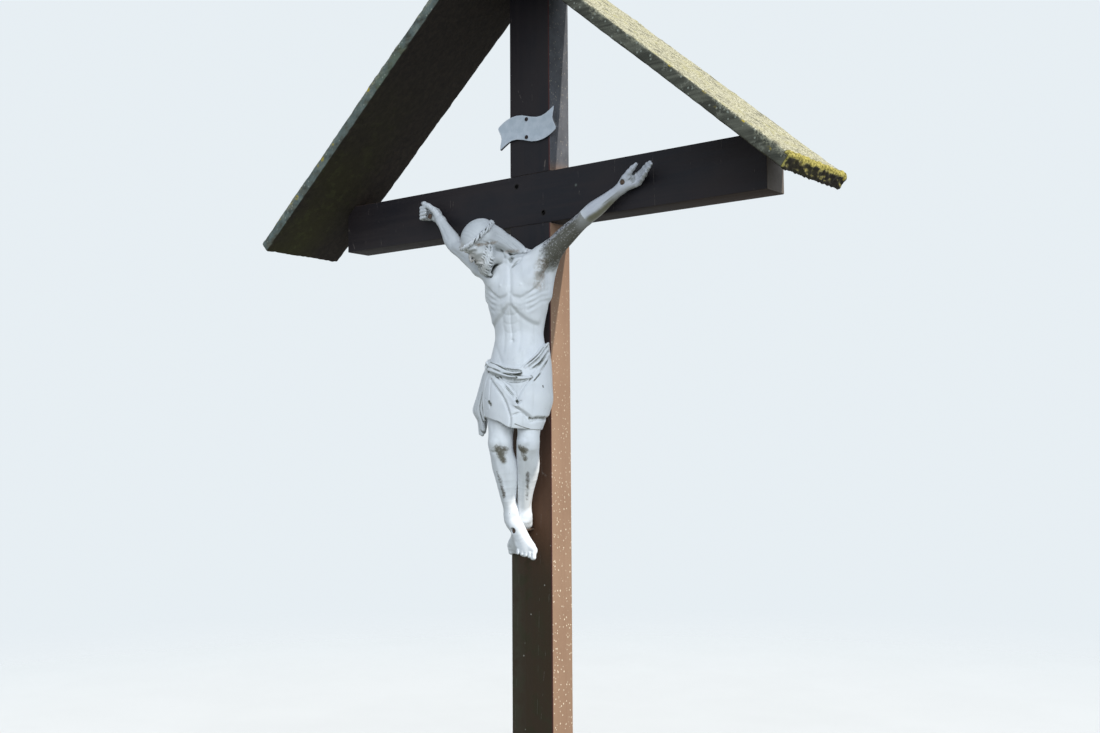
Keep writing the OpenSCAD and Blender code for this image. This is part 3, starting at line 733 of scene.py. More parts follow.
def limb(rows, side, soft=0.0):
    """An oval bar through rows of x, y, z, half thickness across, half thickness along side."""
    rows = curved(rows, 3)
    side = np.array(side, float)
    parts = []
    for p, q in zip(rows[:-1], rows[1:]):
        a, b = p[:3], q[:3]
        way_along = (b - a) / np.linalg.norm(b - a)
        u = np.cross(side, way_along)
        u /= np.linalg.norm(u)
        v = np.cross(way_along, u)

        def field(x, y, z, a=a, b=b, p=p, q=q, u=u, v=v, n=way_along):
            t, off = span(x, y, z, a, b)
            ru, rv = p[3] + (q[3] - p[3]) * t, p[4] + (q[4] - p[4]) * t
            wu, wv, wn = (off[0] * e[0] + off[1] * e[1] + off[2] * e[2] for e in (u, v, n))
            long = np.sqrt(wu**2 + wv**2 + wn**2)
            k = np.sqrt((wu / ru) ** 2 + (wv / rv) ** 2 + (2 * wn / (ru + rv)) ** 2)
            return long - long / np.maximum(k, 1e-3)

        r = max(p[3], p[4], q[3], q[4])
        parts.append((np.minimum(a, b) - r, np.maximum(a, b) + r, field))
    return Touch(parts, "add", soft)


class Clay:
    """A block of clay between two corners, in millimetres from the middle of the crossing."""

    def __init__(self, low, high, cell):
        self.cell = cell * coarse
        self.low = np.floor(np.array(low) / self.cell) * self.cell
        count = np.ceil((np.array(high) - self.low) / self.cell).astype(int) + 1
        self.d = np.full(count, outside, np.float32)

    def window(self, low, high, room):
        """First and last cells of a box with some room round it, kept inside the clay."""
        start = np.floor((low - room - self.low) / self.cell).astype(int)
        stop = np.ceil((high + room - self.low) / self.cell).astype(int) + 1
        start, stop = np.maximum(start, 0), np.minimum(stop, self.d.shape)
        return start, stop

    def grid(self, start, stop):
        """Places of those cells along the three axes."""
        lines = [
            (self.low[k] + np.arange(start[k], stop[k]) * self.cell).astype(np.float32)
            for k in range(3)
        ]
        return lines[0][:, None, None], lines[1][None, :, None], lines[2][None, None, :]

    def lay(self, touches):
        """Adds, cuts or moves the clay by each touch in turn."""
        for touch in touches:
            room = touch.soft + 4 * self.cell
            start, stop = self.window(touch.low, touch.high, room)
            if (start >= stop).any():
                continue
            here = tuple(slice(a, b) for a, b in zip(start, stop))
            if touch.way == "move":
                new = np.zeros(stop - start, np.float32)
            else:
                new = np.full(stop - start, outside, np.float32)
            for low, high, field in touch.parts:
                a, b = self.window(low, high, room)
                if (a >= b).any():
                    continue
                part = tuple(slice(i - k, j - k) for i, j, k in zip(a, b, start))
                value = field(*self.grid(a, b))
                new[part] = value if touch.way == "move" else np.minimum(new[part], value)
            old = self.d[here]
            if touch.way == "move":
                self.d[here] = old + new
                continue
            if touch.way == "cut":
                old, new = -old, new
            if touch.soft > 0:
                h = np.clip(0.5 + 0.5 * (new - old) / touch.soft, 0, 1)
                new = new + (old - new) * h - touch.soft * h * (1 - h)
            else:
                new = np.minimum(old, new)
            self.d[here] = -new if touch.way == "cut" else new
        return self

    def behind(self, point, normal, slope=0.0, reach=0.0):
        """Ends the clay at a plane; with a slope it sinks beyond it, under its neighbour."""
        x, y, z = self.grid((0, 0, 0), self.d.shape)
        n = np.array(normal, float) / np.linalg.norm(normal)
        s = (x - point[0]) * n[0] + (y - point[1]) * n[1] + (z - point[2]) * n[2]
        s = s.astype(np.float32)
        self.d = np.maximum(self.d + slope * np.maximum(s, 0), s - reach)
        return self

    def join(self, other, soft):
        """Blends in another block of clay with the same corners."""
        h = np.clip(0.5 + 0.5 * (other.d - self.d) / soft, 0, 1)
        self.d = other.d + (self.d - other.d) * h - soft * h * (1 - h)
        return self

    def sample(self, at):
        """Distances at any points, from the eight grid values round each."""
        g = (at - self.low) / self.cell
        i = np.clip(np.floor(g).astype(int), 0, np.array(self.d.shape) - 2)
        f = g - i
        total = 0
        for corner in np.ndindex(2, 2, 2):
            weight = np.prod(np.where(corner, f, 1 - f), 1)
            total = total + weight * self.d[tuple((i + corner).T)]
        return total

    def slope_at(self, at):
        """Which way and how fast the distances grow, at any points."""
        step = self.cell * 0.8
        return np.stack([
            (self.sample(at + step * e) - self.sample(at - step * e)) / (2 * step) for e in np.eye(3)
        ], 1)

    def net(self, name):
        """The surface as a mesh: a point in each cell that the surface crosses."""
        d = np.pad(self.d, 1, constant_values=outside)
        shape = np.array(d.shape)
        inside = d < 0
        strides = np.array([shape[1] * shape[2], shape[2], 1])
        flat = d.ravel()
        cells, points = [], []
        for axis in range(3):
            near = [slice(None)] * 3
            far = [slice(None)] * 3
            near[axis], far[axis] = slice(0, -1), slice(1, None)
            at = np.argwhere(inside[tuple(near)] != inside[tuple(far)])
            index = at @ strides
            first, second = flat[index], flat[index + strides[axis]]
            point = at.astype(np.float32)
            point[:, axis] += first / (first - second)
            b, c = strides[(axis + 1) % 3], strides[(axis + 2) % 3]
            round_edge = np.stack([index - b - c, index - c, index, index - b], 1)
            cells.append(np.where((first < 0)[:, None], round_edge, round_edge[:, ::-1]))
            points.append(np.repeat(point, 4, 0))
        corner = np.unique(np.concatenate(cells).ravel(), return_inverse=True)[1]
        points = np.concatenate(points)
        count = np.bincount(corner)
        total = np.stack([np.bincount(corner, points[:, k]) for k in range(3)], 1)
        at = (total / count[:, None] - 1) * self.cell + self.low
        faces = corner.reshape(-1, 4)
        for _ in range(2):
            slope = self.slope_at(at)
            length2 = np.maximum((slope**2).sum(1), 0.05)
            move = self.sample(at)[:, None] * slope / length2[:, None]
            size = np.linalg.norm(move, axis=1, keepdims=True)
            at = at - move * np.minimum(1, 0.5 * self.cell / np.maximum(size, 1e-9))
        mesh = bpy.data.meshes.new(name)
        mesh.from_pydata((at * mm + corpus_at).tolist(), [], faces.tolist())
        piece = bpy.data.objects.new(name, mesh)
        bpy.context.scene.collection.objects.link(piece)
        mesh.polygons.foreach_set("use_smooth", np.ones(len(faces), bool))
        normal = self.slope_at(at)
        normal /= np.maximum(np.linalg.norm(normal, axis=1, keepdims=True), 1e-9)
        hollow = 0
        for reach, weight in hollow_reaches:
            clear = self.sample(at + normal * reach) / reach
            hollow = hollow + weight * np.clip(1 - clear, 0, 1.5)
        keep_values(mesh, "hollow", hollow)
        alone(piece)
        finish_with(piece, "DECIMATE", ratio=0.5)
        return piece


# the trunk: at each height the middle, half width, half depth and turn in degrees of a plain
# oval, and over it the forms of the body, placed in millimetres round it from the midline
body_mm_per_degree = 1.72
trunk_rows = curved([
    (-660, 12, -78, 98, 76, 16), (-640, 12, -78, 100, 76, 16), (-590, 12, -77, 106, 79, 16),
    (-548, 11, -75, 98, 73, 16), (-510, 9, -71, 89, 66, 17), (-476, 8, -70, 86, 63, 18),
    (-430, 10, -75, 95, 70, 18), (-385, 12, -80, 107, 78, 18), (-340, 12, -82, 113, 82, 18),
    (-300, 9, -82, 114, 78, 18), (-262, 4, -84, 112, 70, 17), (-236, -2, -86, 98, 58, 15),
    (-214, -4, -86, 70, 46, 10), (-196, -4, -86, 30, 28, 0),
], 6)
midline = [(-600, 0), (-510, 0), (-455, -9), (-400, -4), (-330, 6), (-250, 8)]


def blob(s, z, at_s, at_z, half_s, half_z, rise, lean=0.0):
    """A soft rise round a place, with its half sizes round the body and up it."""
    aside, above = (s - at_s) / half_s, (z - at_z + lean * (s - at_s)) / half_z
    return rise * np.exp(-(aside**2) - (above**2))


def ledge(s, z, line, rise, lip, fall, drop=0.0):
    """A form that ends in a lip along a line of (s, z): high above it, and low below."""
    edge = np.interp(s, [p[0] for p in line], [p[1] for p in line])
    inside = ((s > line[0][0]) & (s < line[-1][0])).astype(float)
    ends = np.clip(np.minimum(s - line[0][0], line[-1][0] - s) / 14, 0, 1) * inside
    t = z - edge
    up = rise * np.exp(-((np.maximum(t - lip, 0) / fall) ** 2)) / (1 + np.exp(-t / lip * 2.2))
    down = drop * np.exp(-(((t + lip * 1.2) / (lip * 1.6)) ** 2))
    return ends * (up - down)


def score(s, z, line, half, depth):
    """A soft line along points (s, z)."""
    best = np.full(np.broadcast(s, z).shape, 1e9)
    for (s0, z0), (s1, z1) in zip(line[:-1], line[1:]):
        ds, dz = s1 - s0, z1 - z0
        t = np.clip(((s - s0) * ds + (z - z0) * dz) / (ds * ds + dz * dz), 0, 1)
        best = np.minimum(best, (s - s0 - t * ds) ** 2 + (z - z0 - t * dz) ** 2)
    return -depth * np.exp(-best / half**2)


def trunk_relief(s, z):
    """The forms of the body over its plain oval, in millimetres round it from the midline."""
    s = s - np.interp(z, [m[0] for m in midline], [m[1] for m in midline])
    side = np.abs(s)
    h = blob(side, z, 50, -306, 44, 34, 7.0) + blob(side, z, 30, -330, 26, 20, 3.0)
    h += ledge(
        side, z, [(2, -346), (18, -357), (44, -362), (72, -350), (100, -318), (120, -286)], 4.5, 5, 30, 2.5
    )
    h += score(side, z, [(0, -262), (0, -300), (0, -346)], 9, 4.5)
    h += score(side, z, [(0, -352), (0, -372)], 6, 2.0)
    h += ledge(
        side, z, [(-2, -378), (10, -388), (26, -402), (48, -418), (72, -432), (104, -446), (140, -452)],
        5.5, 6, 26, 3.5
    )
    h += blob(side, z, 0, -424, 46, 30, -6.5) + blob(side, z, 44, -446, 36, 24, -2.5)
    for k in range(4):
        line = [
            (64 + 5 * k, -352 - 18 * k), (88 + 3 * k, -342 - 18 * k), (118, -326 - 18 * k),
            (150, -316 - 18 * k)
        ]
        h += score(side, z, line, 5.5, 2.6)
        h += blob(side, z, 84 + 4 * k, -354 - 18 * k, 13, 7.5, 2.2, -0.4)
    for k in range(3):
        h += score(side, z, [(22, -372 - 15 * k), (52, -378 - 15 * k), (82, -366 - 15 * k)], 5, 0.9)
    h += blob(side, z, 22, -440, 15, 62, 3.0) + blob(side, z, 24, -530, 22, 30, 2.0)
    h += score(side, z, [(0, -392), (0, -500)], 5.5, 3.4)
    for at in (-422, -452, -482):
        h += score(side, z, [(3, at), (24, at + 1), (36, at + 7)], 4.5, 1.6)
    h += score(side, z, [(42, -400), (46, -450), (44, -500), (34, -545)], 9, 2.8)
    h += blob(side, z, 78, -508, 30, 22, 4.0) + blob(side, z, 0, -545, 56, 34, 5.0)
    h += score(side, z, [(100, -520), (70, -545), (40, -580)], 8, 3.0)
    h *= 0.6
    h += blob(s, z, 0, -509, 8.5, 7, -6.5) + blob(s, z, 0, -499, 11, 5, 1.8)
    h += blob(side, z, 41, -322, 4.2, 4.2, 2.2) + blob(side, z, 41, -322, 9, 9, 0.8)
    h += score(side, z, [(168, -250), (172, -350), (176, -450), (178, -560)], 9, 5.0)
    h += blob(side, z, 118, -300, 30, 44, 4.0) + blob(side, z, 150, -470, 20, 70, 2.5)
    return h


def trunk_field(x, y, z):
    """Distances to the trunk with its relief, which counts only near the surface."""
    at, axis = trunk_rows[:, 0], trunk_rows
    cx, cy, wide, deep, yaw = (np.interp(z, at, axis[:, k]) for k in range(1, 6))
    yaw = np.radians(yaw)
    u = (x - cx) * np.cos(yaw) + (y - cy) * np.sin(yaw)
    v = -(x - cx) * np.sin(yaw) + (y - cy) * np.cos(yaw)
    out = np.sqrt(u * u + v * v)
    k = np.sqrt((u / wide) ** 2 + (v / deep) ** 2)
    d = out - out / np.maximum(k, 1e-3)
    near = np.nonzero(np.abs(d) < 16)
    s = np.degrees(np.arctan2(u[near], -v[near])) * body_mm_per_degree
    zz = np.broadcast_to(z, d.shape)[near]
    d[near] -= trunk_relief(s, zz) * np.clip((16 - np.abs(d[near])) / 5, 0, 1)
    return d * 0.92


def between(a, b, share, out=(0, 0, 0)):
    """A share of the way from a to b, then moved by out."""
    return np.array(a) + (np.array(b) - np.array(a)) * share + np.array(out)


def frame_of(a, b, aside=(0, 0, 1)):
    """Directions along a limb, to its upper or given side, and forward from it."""
    along = np.array(b, float) - np.array(a, float)
    along /= np.linalg.norm(along)
    fore = np.array((0, -1, 0)) + along * along[1]
    fore /= np.linalg.norm(fore)
    up = np.cross(along, fore)
    return along, up if up @ aside > 0 else -up, fore


shoulder = {-1: (-108, -122, -240), 1: (104, -68, -230)}
elbow = {-1: (-283, -72, -147), 1: (276, -47, -105)}
wrist = {-1: (-391, -38, -34), 1: (412, -31, -22)}
neck_base = np.array((-4, -88, -214))
neck_top = neck_base + (-41, -60, 46)
chest_top = (-6, -62, -200)
body = [
    Touch([((-150, -200, -655), (170, 10, -192), trunk_field)], soft=0),
    limb([
        (*(neck_base - (0, 0, 30)), 44, 42), (*(neck_base + (-2, -4, 4)), 38, 38),
        (*(neck_base + (-22, -26, 30)), 33, 35), (*neck_top, 33, 35),
    ], (1, 0, 0), 18),
]
for s in (-1, 1):
    root, bend, end = shoulder[s], elbow[s], wrist[s]
    upper = partial(between, root, bend)
    lower = partial(between, bend, end)
    collar = between(chest_top, root, 0.55, (0, 14, 4))
    body.append(strand([(*chest_top, 24), (*collar, 22), (*upper(0.05, (0, 22, 8)), 20)], 22))
    body.append(limb([
        (*root, 37, 38), (*upper(0.38), 32, 35), (*upper(0.75), 27, 29),
        (*bend, 26, 27), (*lower(0.28), 28, 27), (*lower(0.65), 22, 21),
        (*end, 17, 16),
    ], (0, 1, 0), 20))
    body.append(strand([(s * 62, -88, -262, 44), (*root, 39)], 20))
    axes = frame_of(root, bend)
    up, fore = axes[1:]
    body += [
        swell(upper(0.10, 26 * up), (44, 24, 30), 4.5, axes),
        swell(upper(0.16, 30 * fore), (36, 22, 18), 3.5, axes),
        swell(upper(0.60, 20 * fore + 16 * up), (46, 15, 16), 5.0, axes),
        swell(upper(0.48, -26 * up), (52, 14, 20), 4.0, axes),
        swell(upper(0.99, -24 * up + 6 * -fore), (11, 9, 9), 3.0, axes),
        swell(upper(0.98, 24 * fore), (13, 10, 8), -2.5, axes),
        groove([
            upper(0.26, 33 * fore - 2 * up), upper(0.6, 28 * fore - 7 * up),
            upper(0.92, 24 * fore - 9 * up)
        ], 6, 2.6),
        groove([
            upper(0.30, 30 * up + 16 * fore), upper(0.42, 22 * up + 24 * fore),
            upper(0.50, 12 * up + 30 * fore)
        ], 7, 2.4),
    ]
    axes = frame_of(bend, end)
    over, fore = axes[1:]
    body += [
        swell(lower(0.24, 18 * fore - 14 * over), (36, 15, 14), 4.0, axes),
        swell(lower(0.20, 20 * over), (34, 12, 16), 3.5, axes),
        groove([
            lower(0.12, 25 * fore + 2 * over), lower(0.5, 24 * fore + 3 * over),
            lower(0.85, 18 * fore + 4 * over)
        ], 5, 1.8),
        groove([lower(0.55, 21 * fore - 5 * over), lower(0.97, 16 * fore - 3 * over)], 2.6, -1.4),
        groove([lower(0.5, 22 * fore - 11 * over), lower(0.97, 14 * fore - 8 * over)], 2.6, -1.2),
        swell(lower(0.96, 12 * over - 6 * fore), (8, 6, 7), 2.0, axes),
    ]
yaw = math.radians(18)
turn_body = np.array(((math.cos(yaw), math.sin(yaw), 0), (-math.sin(yaw), math.cos(yaw), 0), (0, 0, 1)))


def on_body(u, v, z):
    """A place given across the chest, from front to back of it, and up."""
    return np.array((10, -80, 0)) + np.array((u, v, z)) @ turn_body


for s in (-1, 1):
    armpit = between(shoulder[s], elbow[s], 0.30)
    body += [
        strand([
            (*on_body(s * 12, -58, -236), 7), (*on_body(s * 52, -52, -226), 7),
            (*on_body(s * 92, -24, -222), 8)
        ], 12),
        strand([
            (*on_body(s * 66, -58, -300), 22),
            (*between(on_body(s * 92, -40, -272), armpit, 0.4, (0, -14, -12)), 17),
            (*between(shoulder[s], elbow[s], 0.42, (0, -10, -14)), 10)
        ], 20),
        strand([
            (*on_body(s * 100, 6, -350), 20), (*on_body(s * 112, 14, -290), 17),
            (*between(shoulder[s], elbow[s], 0.36, (0, 12, -20)), 9)
        ], 22),
        swell(between(on_body(s * 116, -14, -292), armpit, 0.25, (0, -2, -12)), (20, 14, 18), -4),
        strand([
            (*on_body(s * 8, -56, -240), 5),
            (*between(on_body(s * 8, -52, -240), neck_top, 0.5, (s * 14, -6, -4)), 8),
            (*(neck_top + (s * 27, 12, 22)), 9)
        ], 9),
    ]
body += [
    swell(on_body(0, -60, -232), (9, 9, 8), -5),
    groove([
        (58, -108, -210), (65, -126, -226), (59, -131, -238), (45, -137, -252), (31, -147, -268)
    ], 4.5, 4.0),
]


def digit(rows, soft=2.0, bump=0.9):
    """A finger or toe through its joints, rows of x, y, z, radius, with rounded joints."""
    rows = np.array(rows, float)
    made = [strand(rows, soft, steps=3)]
    made += [egg(r[:3], (r[3] + bump,) * 3, soft=3) for r in rows[1:-1]]
    return made


def nail_bed(tip, toward, face, size):
    """A finger nail or toe nail: a flat let into the tip, with its rim."""
    toward = np.array(toward, float) / np.linalg.norm(toward)
    face = np.array(face, float) - toward * (np.array(face, float) @ toward)
    face /= np.linalg.norm(face)
    across = np.cross(toward, face)
    at = np.array(tip) + face * size
    back = at - toward * size * 0.9
    return [
        swell(
            at - toward * 0.1 * size, (size * 0.7, size * 0.6, size * 0.5), -size * 0.16,
            (toward, across, face)
        ),
        groove([
            back + across * size * 0.6, back - toward * size * 0.25, back - across * size * 0.6
        ], 1.3, 0.7),
    ]


# the hand on the viewer's left, its fingers curled over the palm
body.append(strand([(*wrist[-1], 16), (-412, -28, -19, 17), (-424, -23, -10, 17)], 14))
hand_axes = frame_of((-398, -34, -30), (-466, -16, 8))
body += [
    egg((-437, -17, -2), (36, 25, 14), hand_axes, 10),
    egg((-424, -33, 6), (23, 11, 10), hand_axes, 9),
    egg((-432, -28, -19), (25, 10, 9), hand_axes, 8),
    swell((-443, -31, -4), (13, 10, 8), -3.5, hand_axes),
    groove([(-418, -40, -6), (-432, -38, -1), (-446, -34, 12)], 2.2, 1.8),
    groove([(-424, -36, -22), (-440, -34, -14), (-456, -30, -2)], 2.0, 1.4),
]
for k in range(4):
    z = 25 - 12.6 * k
    size = (8.2, 8.6, 8.2, 7.2)[k]
    curl = (0, 3, 2, -3)[k]
    tip = np.array((-452 + curl, -57 - curl * 0.6, z - 5 + 1.5 * k))
    body += digit([
        (-452, -14, z * 0.9 - 1, size + 1), (-466, -17, z, size + 0.6), (-484 - curl * 0.6, -38, z - 1, size),
        (-472 + curl * 0.4, -55, z - 4, size * 0.88), (*tip, size * 0.74),
    ], 2.2)
    body += nail_bed(tip, (1, 0.1, -0.1), (-0.2, -1, -0.15), size * 0.72)
body += digit([
    (-407, -38, -12, 13), (-420, -45, 8, 11.5), (-438, -53, 24, 10), (-458, -55, 35, 8.6),
    (-474, -47, 41, 6.8)
], 7)
body += nail_bed((-473, -47.5, 41), (-0.8, 0.4, 0.3), (-0.2, -0.4, 0.9), 6.4)

# the hand on the viewer's right, open, with the fingers together and bent forward
body.append(strand([(*wrist[1], 16), (430, -27, -14, 16.5), (444, -22, -6, 15)], 14))
hand_axes = frame_of((414, -30, -20), (480, -20, 5))
body += [
    egg((451, -18, 0), (38, 24.5, 13), hand_axes, 10),
    egg((437, -32, 4), (24, 11, 11), hand_axes, 9),
    egg((447, -28, -15), (26, 10, 9), hand_axes, 8),
    swell((460, -30, 1), (14, 11, 7), -3.0, hand_axes),
    groove([(432, -40, -6), (446, -38, 0), (462, -33, 14)], 2.2, 1.8),
    groove([(448, -36, -17), (462, -32, -8), (478, -28, 2)], 2.0, 1.4),
]
for k in range(4):
    size = (8.0, 8.2, 7.8, 6.8)[k]
    root = np.array((478 + (0, 3, 2, -3)[k], -19, 20 - 10.4 * k))
    knee_of = np.array((508 - (0, -4, 0, 10)[k], -35 - (0, 1, 2, 1)[k], (31, 20, 9, -3)[k]))
    last = np.array((526 - (0, -5, 2, 14)[k], -46 - (0, 1, 2, 0)[k], (37, 29, 19, 6)[k]))
    tip = np.array((541 - (0, -5, 2, 15)[k], -55 - (0, 1, 1, -1)[k], (41, 35, 25, 12)[k]))
    body += digit([
        (*(root - (14, 0, 5)), size + 1.5), (*root, size + 0.6), (*knee_of, size - 0.2),
        (*last, size * 0.86), (*tip, size * 0.66)
    ], 2.0)
    body += nail_bed(tip - (2, 0, 1), tip - last, (0.4, 0.9, 0.3), size * 0.7)
body += digit([
    (418, -33, -8, 14), (432, -37, 8, 12), (449, -39, 24, 9.6), (462, -39, 36, 8.2), (475, -37, 47, 6.0)
], 7)
body += nail_bed((473, -37.5, 45.5), (0.7, 0.1, 0.7), (-0.6, 0.3, 0.7), 6.0)

# the legs, bent at the knees, and the feet laid over each other with the soles to the post
knee = {-1: (-11, -150, -852), 1: (81, -114, -850)}
hip = {-1: (-42, -92, -590), 1: (64, -62, -588)}
ankle = {-1: (-14, -93, -1092), 1: (4, -46, -1092)}
thigh = {-1: (51, 41, 41, 37, 40, 28.5), 1: (48, 36, 37, 36, 36, 26)}
ball = {-1: (35, -74, -1205), 1: (-54, -19, -1204)}
toe_line = {-1: (-0.88, -0.46, 0.05), 1: (0.9, 0, -0.25)}


def leg(s):
    """A leg and its foot, from hip to toes; s is -1 for the figure's right one."""
    a, b, c, d = (np.array(p[s], float) for p in (hip, knee, ankle, ball))
    t = thigh[s]
    shin = partial(between, b, c)
    instep = partial(between, c, d)
    made = [limb([
        (*a, 56, 58), (*between(a, b, 0.5), t[0], t[0] + 3),
        (*between(a, b, 0.86), t[1], t[1] + 2), (*b, t[2], t[2] + 2),
        (*shin(0.16), t[3], t[3] + 3), (*shin(0.38, (0, 7, 0)), t[4], t[4] + 3),
        (*shin(0.70), t[5], t[5] + 3), (*shin(0.93), 20.5, 24), (*c, 20, 24),
    ], (0, 1, 0))]
    axes = frame_of(a, b, (s, 0, 0))
    along, out, fore = axes
    made += [
        swell(b - 52 * along - 22 * out + 24 * fore, (30, 17, 18), 4.5, axes),
        swell(b - 74 * along + 24 * out + 26 * fore, (38, 18, 18), 2.5, axes),
        groove([b - 100 * along + 52 * fore, b - 60 * along + 47 * fore, b - 30 * along + 42 * fore], 7, 1.6),
    ]
    axes = frame_of(b, c, (s, 0, 0))
    along, out, fore = axes
    made += [
        egg(b - 2 * along + 33 * fore, (21, 17, 11), axes, 10),
        egg(b + 38 * along + 31 * fore, (13, 9, 7), axes, 9),
        swell(b + 4 * along - 32 * out + 12 * fore, (20, 15, 18), 3.5, axes),
        swell(b + 6 * along + 32 * out + 12 * fore, (18, 14, 16), 2.5, axes),
        swell(b + 2 * along - 22 * out + 35 * fore, (15, 7, 11), -3.2, axes),
        swell(b + 2 * along + 22 * out + 35 * fore, (14, 7, 11), -3.0, axes),
        swell(b - 26 * along + 42 * fore, (9, 18, 9), -1.6, axes),
        groove([
            b + 20 * along - 17 * out + 38 * fore, b + 23 * along + 42 * fore,
            b + 20 * along + 17 * out + 38 * fore
        ], 5, 1.8),
        groove([
            b + 46 * along + 37 * fore - 2 * out, shin(0.45, 38 * fore - 5 * out),
            shin(0.8, 28 * fore - 5 * out)
        ], 7, -2.4),
        groove([
            b + 50 * along + 30 * fore - 22 * out, shin(0.45, 30 * fore - 22 * out),
            shin(0.8, 22 * fore - 16 * out)
        ], 9, 1.8),
        swell(shin(0.34, 28 * fore + 14 * out), (50, 12, 14), 3.2, axes),
        groove([
            shin(0.2, 30 * fore + 24 * out), shin(0.5, 24 * fore + 26 * out),
            shin(0.85, 14 * fore + 22 * out)
        ], 6, 1.8),
        swell(shin(0.30, -30 * out - 10 * fore), (44, 14, 22), 5.0, axes),
        swell(shin(0.26, 30 * out - 4 * fore), (46, 16, 26), 11.0 if s < 0 else 3.0, axes),
        swell(shin(0.52, -24 * out - 14 * fore), (30, 12, 16), 2.0, axes),
        swell(shin(0.90, -16 * out - 14 * fore), (26, 10, 11), -4.0, axes),
        swell(shin(0.90, 16 * out - 14 * fore), (26, 10, 11), -4.0, axes),
        strand([
            (*shin(0.78, -26 * fore), 9), (*shin(0.95, -24 * fore), 7), (*(c - 22 * fore + 20 * along), 9)
        ], 8),
        egg(c - 22 * out + 2 * fore - 4 * along, (10, 7, 9), axes, 9),
        egg(c + 22 * out - 2 * fore + 5 * along, (11, 7, 9), axes, 9),
    ]
    down = (d - c) / np.linalg.norm(d - c)
    top = np.array((0, -1.0, 0)) + down * down[1]
    top /= np.linalg.norm(top)
    inner = np.cross(down, top)
    inner = inner if inner[0] * -s > 0 else -inner
    foot_axes = (down, inner, top)
    line = np.array(toe_line[s])
    made += [
        strand([(*(c + (0, 4, 4)), 19), (*(c + (0, 14, -18)), 18), (*(c + (-s, 20, -36)), 17)], 12),
        limb([
            (*(c + (0, 0, 20)), 21, 24), (*(c + (0, 2, -20)), 25, 26), (*instep(0.45), 26, 25),
            (*instep(0.8), 29, 18), (*d, 31, 14), (*(d + down * 12), 28, 11),
        ], (line[1], -line[0], 0), 10),
        egg(d - line * 22 - down * 2, (15, 12, 13), foot_axes, 8),
        egg(d + line * 24 - down * 8, (14, 9, 10), foot_axes, 8),
        swell(instep(0.62, 30 * inner - 6 * top), (24, 12, 12), -5, foot_axes),
        swell(instep(0.35, 18 * inner + 12 * top), (24, 12, 12), 2.5, foot_axes),
    ]
    for k in range(5):
        size = (10.6, 7.9, 7.6, 7.2, 6.8)[k]
        root = d + line * (13 * k - (25 if k == 0 else 27)) + down * (8 - k)
        lift = -6 if s < 0 else 3
        tip = root + (0, lift, -23 + 2 * k) if k else root + (0, lift + 1, -24)
        mid = between(root, tip, 0.45, (0, -2.5 if k else -1, 0))
        made += digit([
            (*between(root, c, 0.22), size * 0.7), (*root, size), (*mid, size * 0.86), (*tip, size * 0.95)
        ], 2.2, 0.3)
        made += nail_bed(tip + (0, 0, 1), (0, 0.1, -1), (0, -1, -0.25), size * 0.9)
        made.append(groove([
            instep(0.25, 25 * top + line * (3 * k - 6)), between(c, root, 0.65, 17 * top),
            between(root, tip, 0.1, size * 0.8 * top)
        ], 3.6, -1.3))
    return made


def wound(at, y_seat, radius):
    """The torn rim round a nail, and the flat that its head bears on."""
    x, z = at
    low, high = (x - radius, y_seat - 40, z - radius), (x + radius, y_seat, z + radius)

    def seat(px, py, pz):
        return np.maximum(np.sqrt((px - x) ** 2 + (pz - z) ** 2) - radius - 0.2, py - y_seat)

    return [
        swell((x, y_seat + 3, z), (radius * 1.5, 9, radius * 1.5), 2.2),
        groove([(x - 4, y_seat - 1, z + radius), (x - 7, y_seat, z + radius * 1.9)], 1.5, 1.6),
        groove([(x + 3, y_seat - 1, z - radius), (x + 6, y_seat, z - radius * 1.8)], 1.5, 1.6),
        strand([(x, y_seat - radius - 1.2, z, radius + 0.6), (x, y_seat - 60, z, radius + 6)], 1.0, "cut"),
        Touch([(low, high, seat)], "cut", 0.6),
    ]


body += wound((-440, -12), -40, 9) + wound((425, -6), -40, 9)

# the white paint of all the castings: chalked and streaked by rain, with grime and painted shade in
# its hollows and folds, painted shade on the undersides, the head, the outer parts of both arms and
# round the face, black growth on top of the left arm, and stains on the knees and shins
white = Finish("white_paint", [("Specular IOR Level", 0.35)])


def smudge(first, last, radius):
    """1 along a line between two places on the figure, falling to 0 at a radius from it."""
    a, b = (np.array(end) * mm + corpus_at for end in (first, last))
    way = b - a
    parts = zip((white.x, white.y, white.z), a, way / (way @ way))
    steps = [(part - float(at)) * float(step) for part, at, step in parts]
    share = (steps[0] + steps[1] + steps[2]).clamped()
    sockets = {0: share, 1: tuple(way), 2: tuple(a)}
    nearest = white.node("VectorMath", {"operation": "MULTIPLY_ADD"}, sockets)
    return white.distance(nearest).ramp(radius * mm, 0.0)


hollow = white.attribute("hollow")
film = white.noise(0.09, 5, 0.6)
fine = white.noise(0.007, 5, 0.7)
mottle = white.noise(0.022, 5, 0.65, warp=0.6)
runs = white.noise(0.014, 4, 0.6, at=white.stretched((1, 1, 0.10)))
up = white.facing()[2]
ragged = fine * 0.9 + mottle * 0.9


def stains(*lines):
    """Smudges added up, each two places and a radius."""
    total = 0
    for first, last, radius in lines:
        total = total + smudge(first, last, radius)
    return total


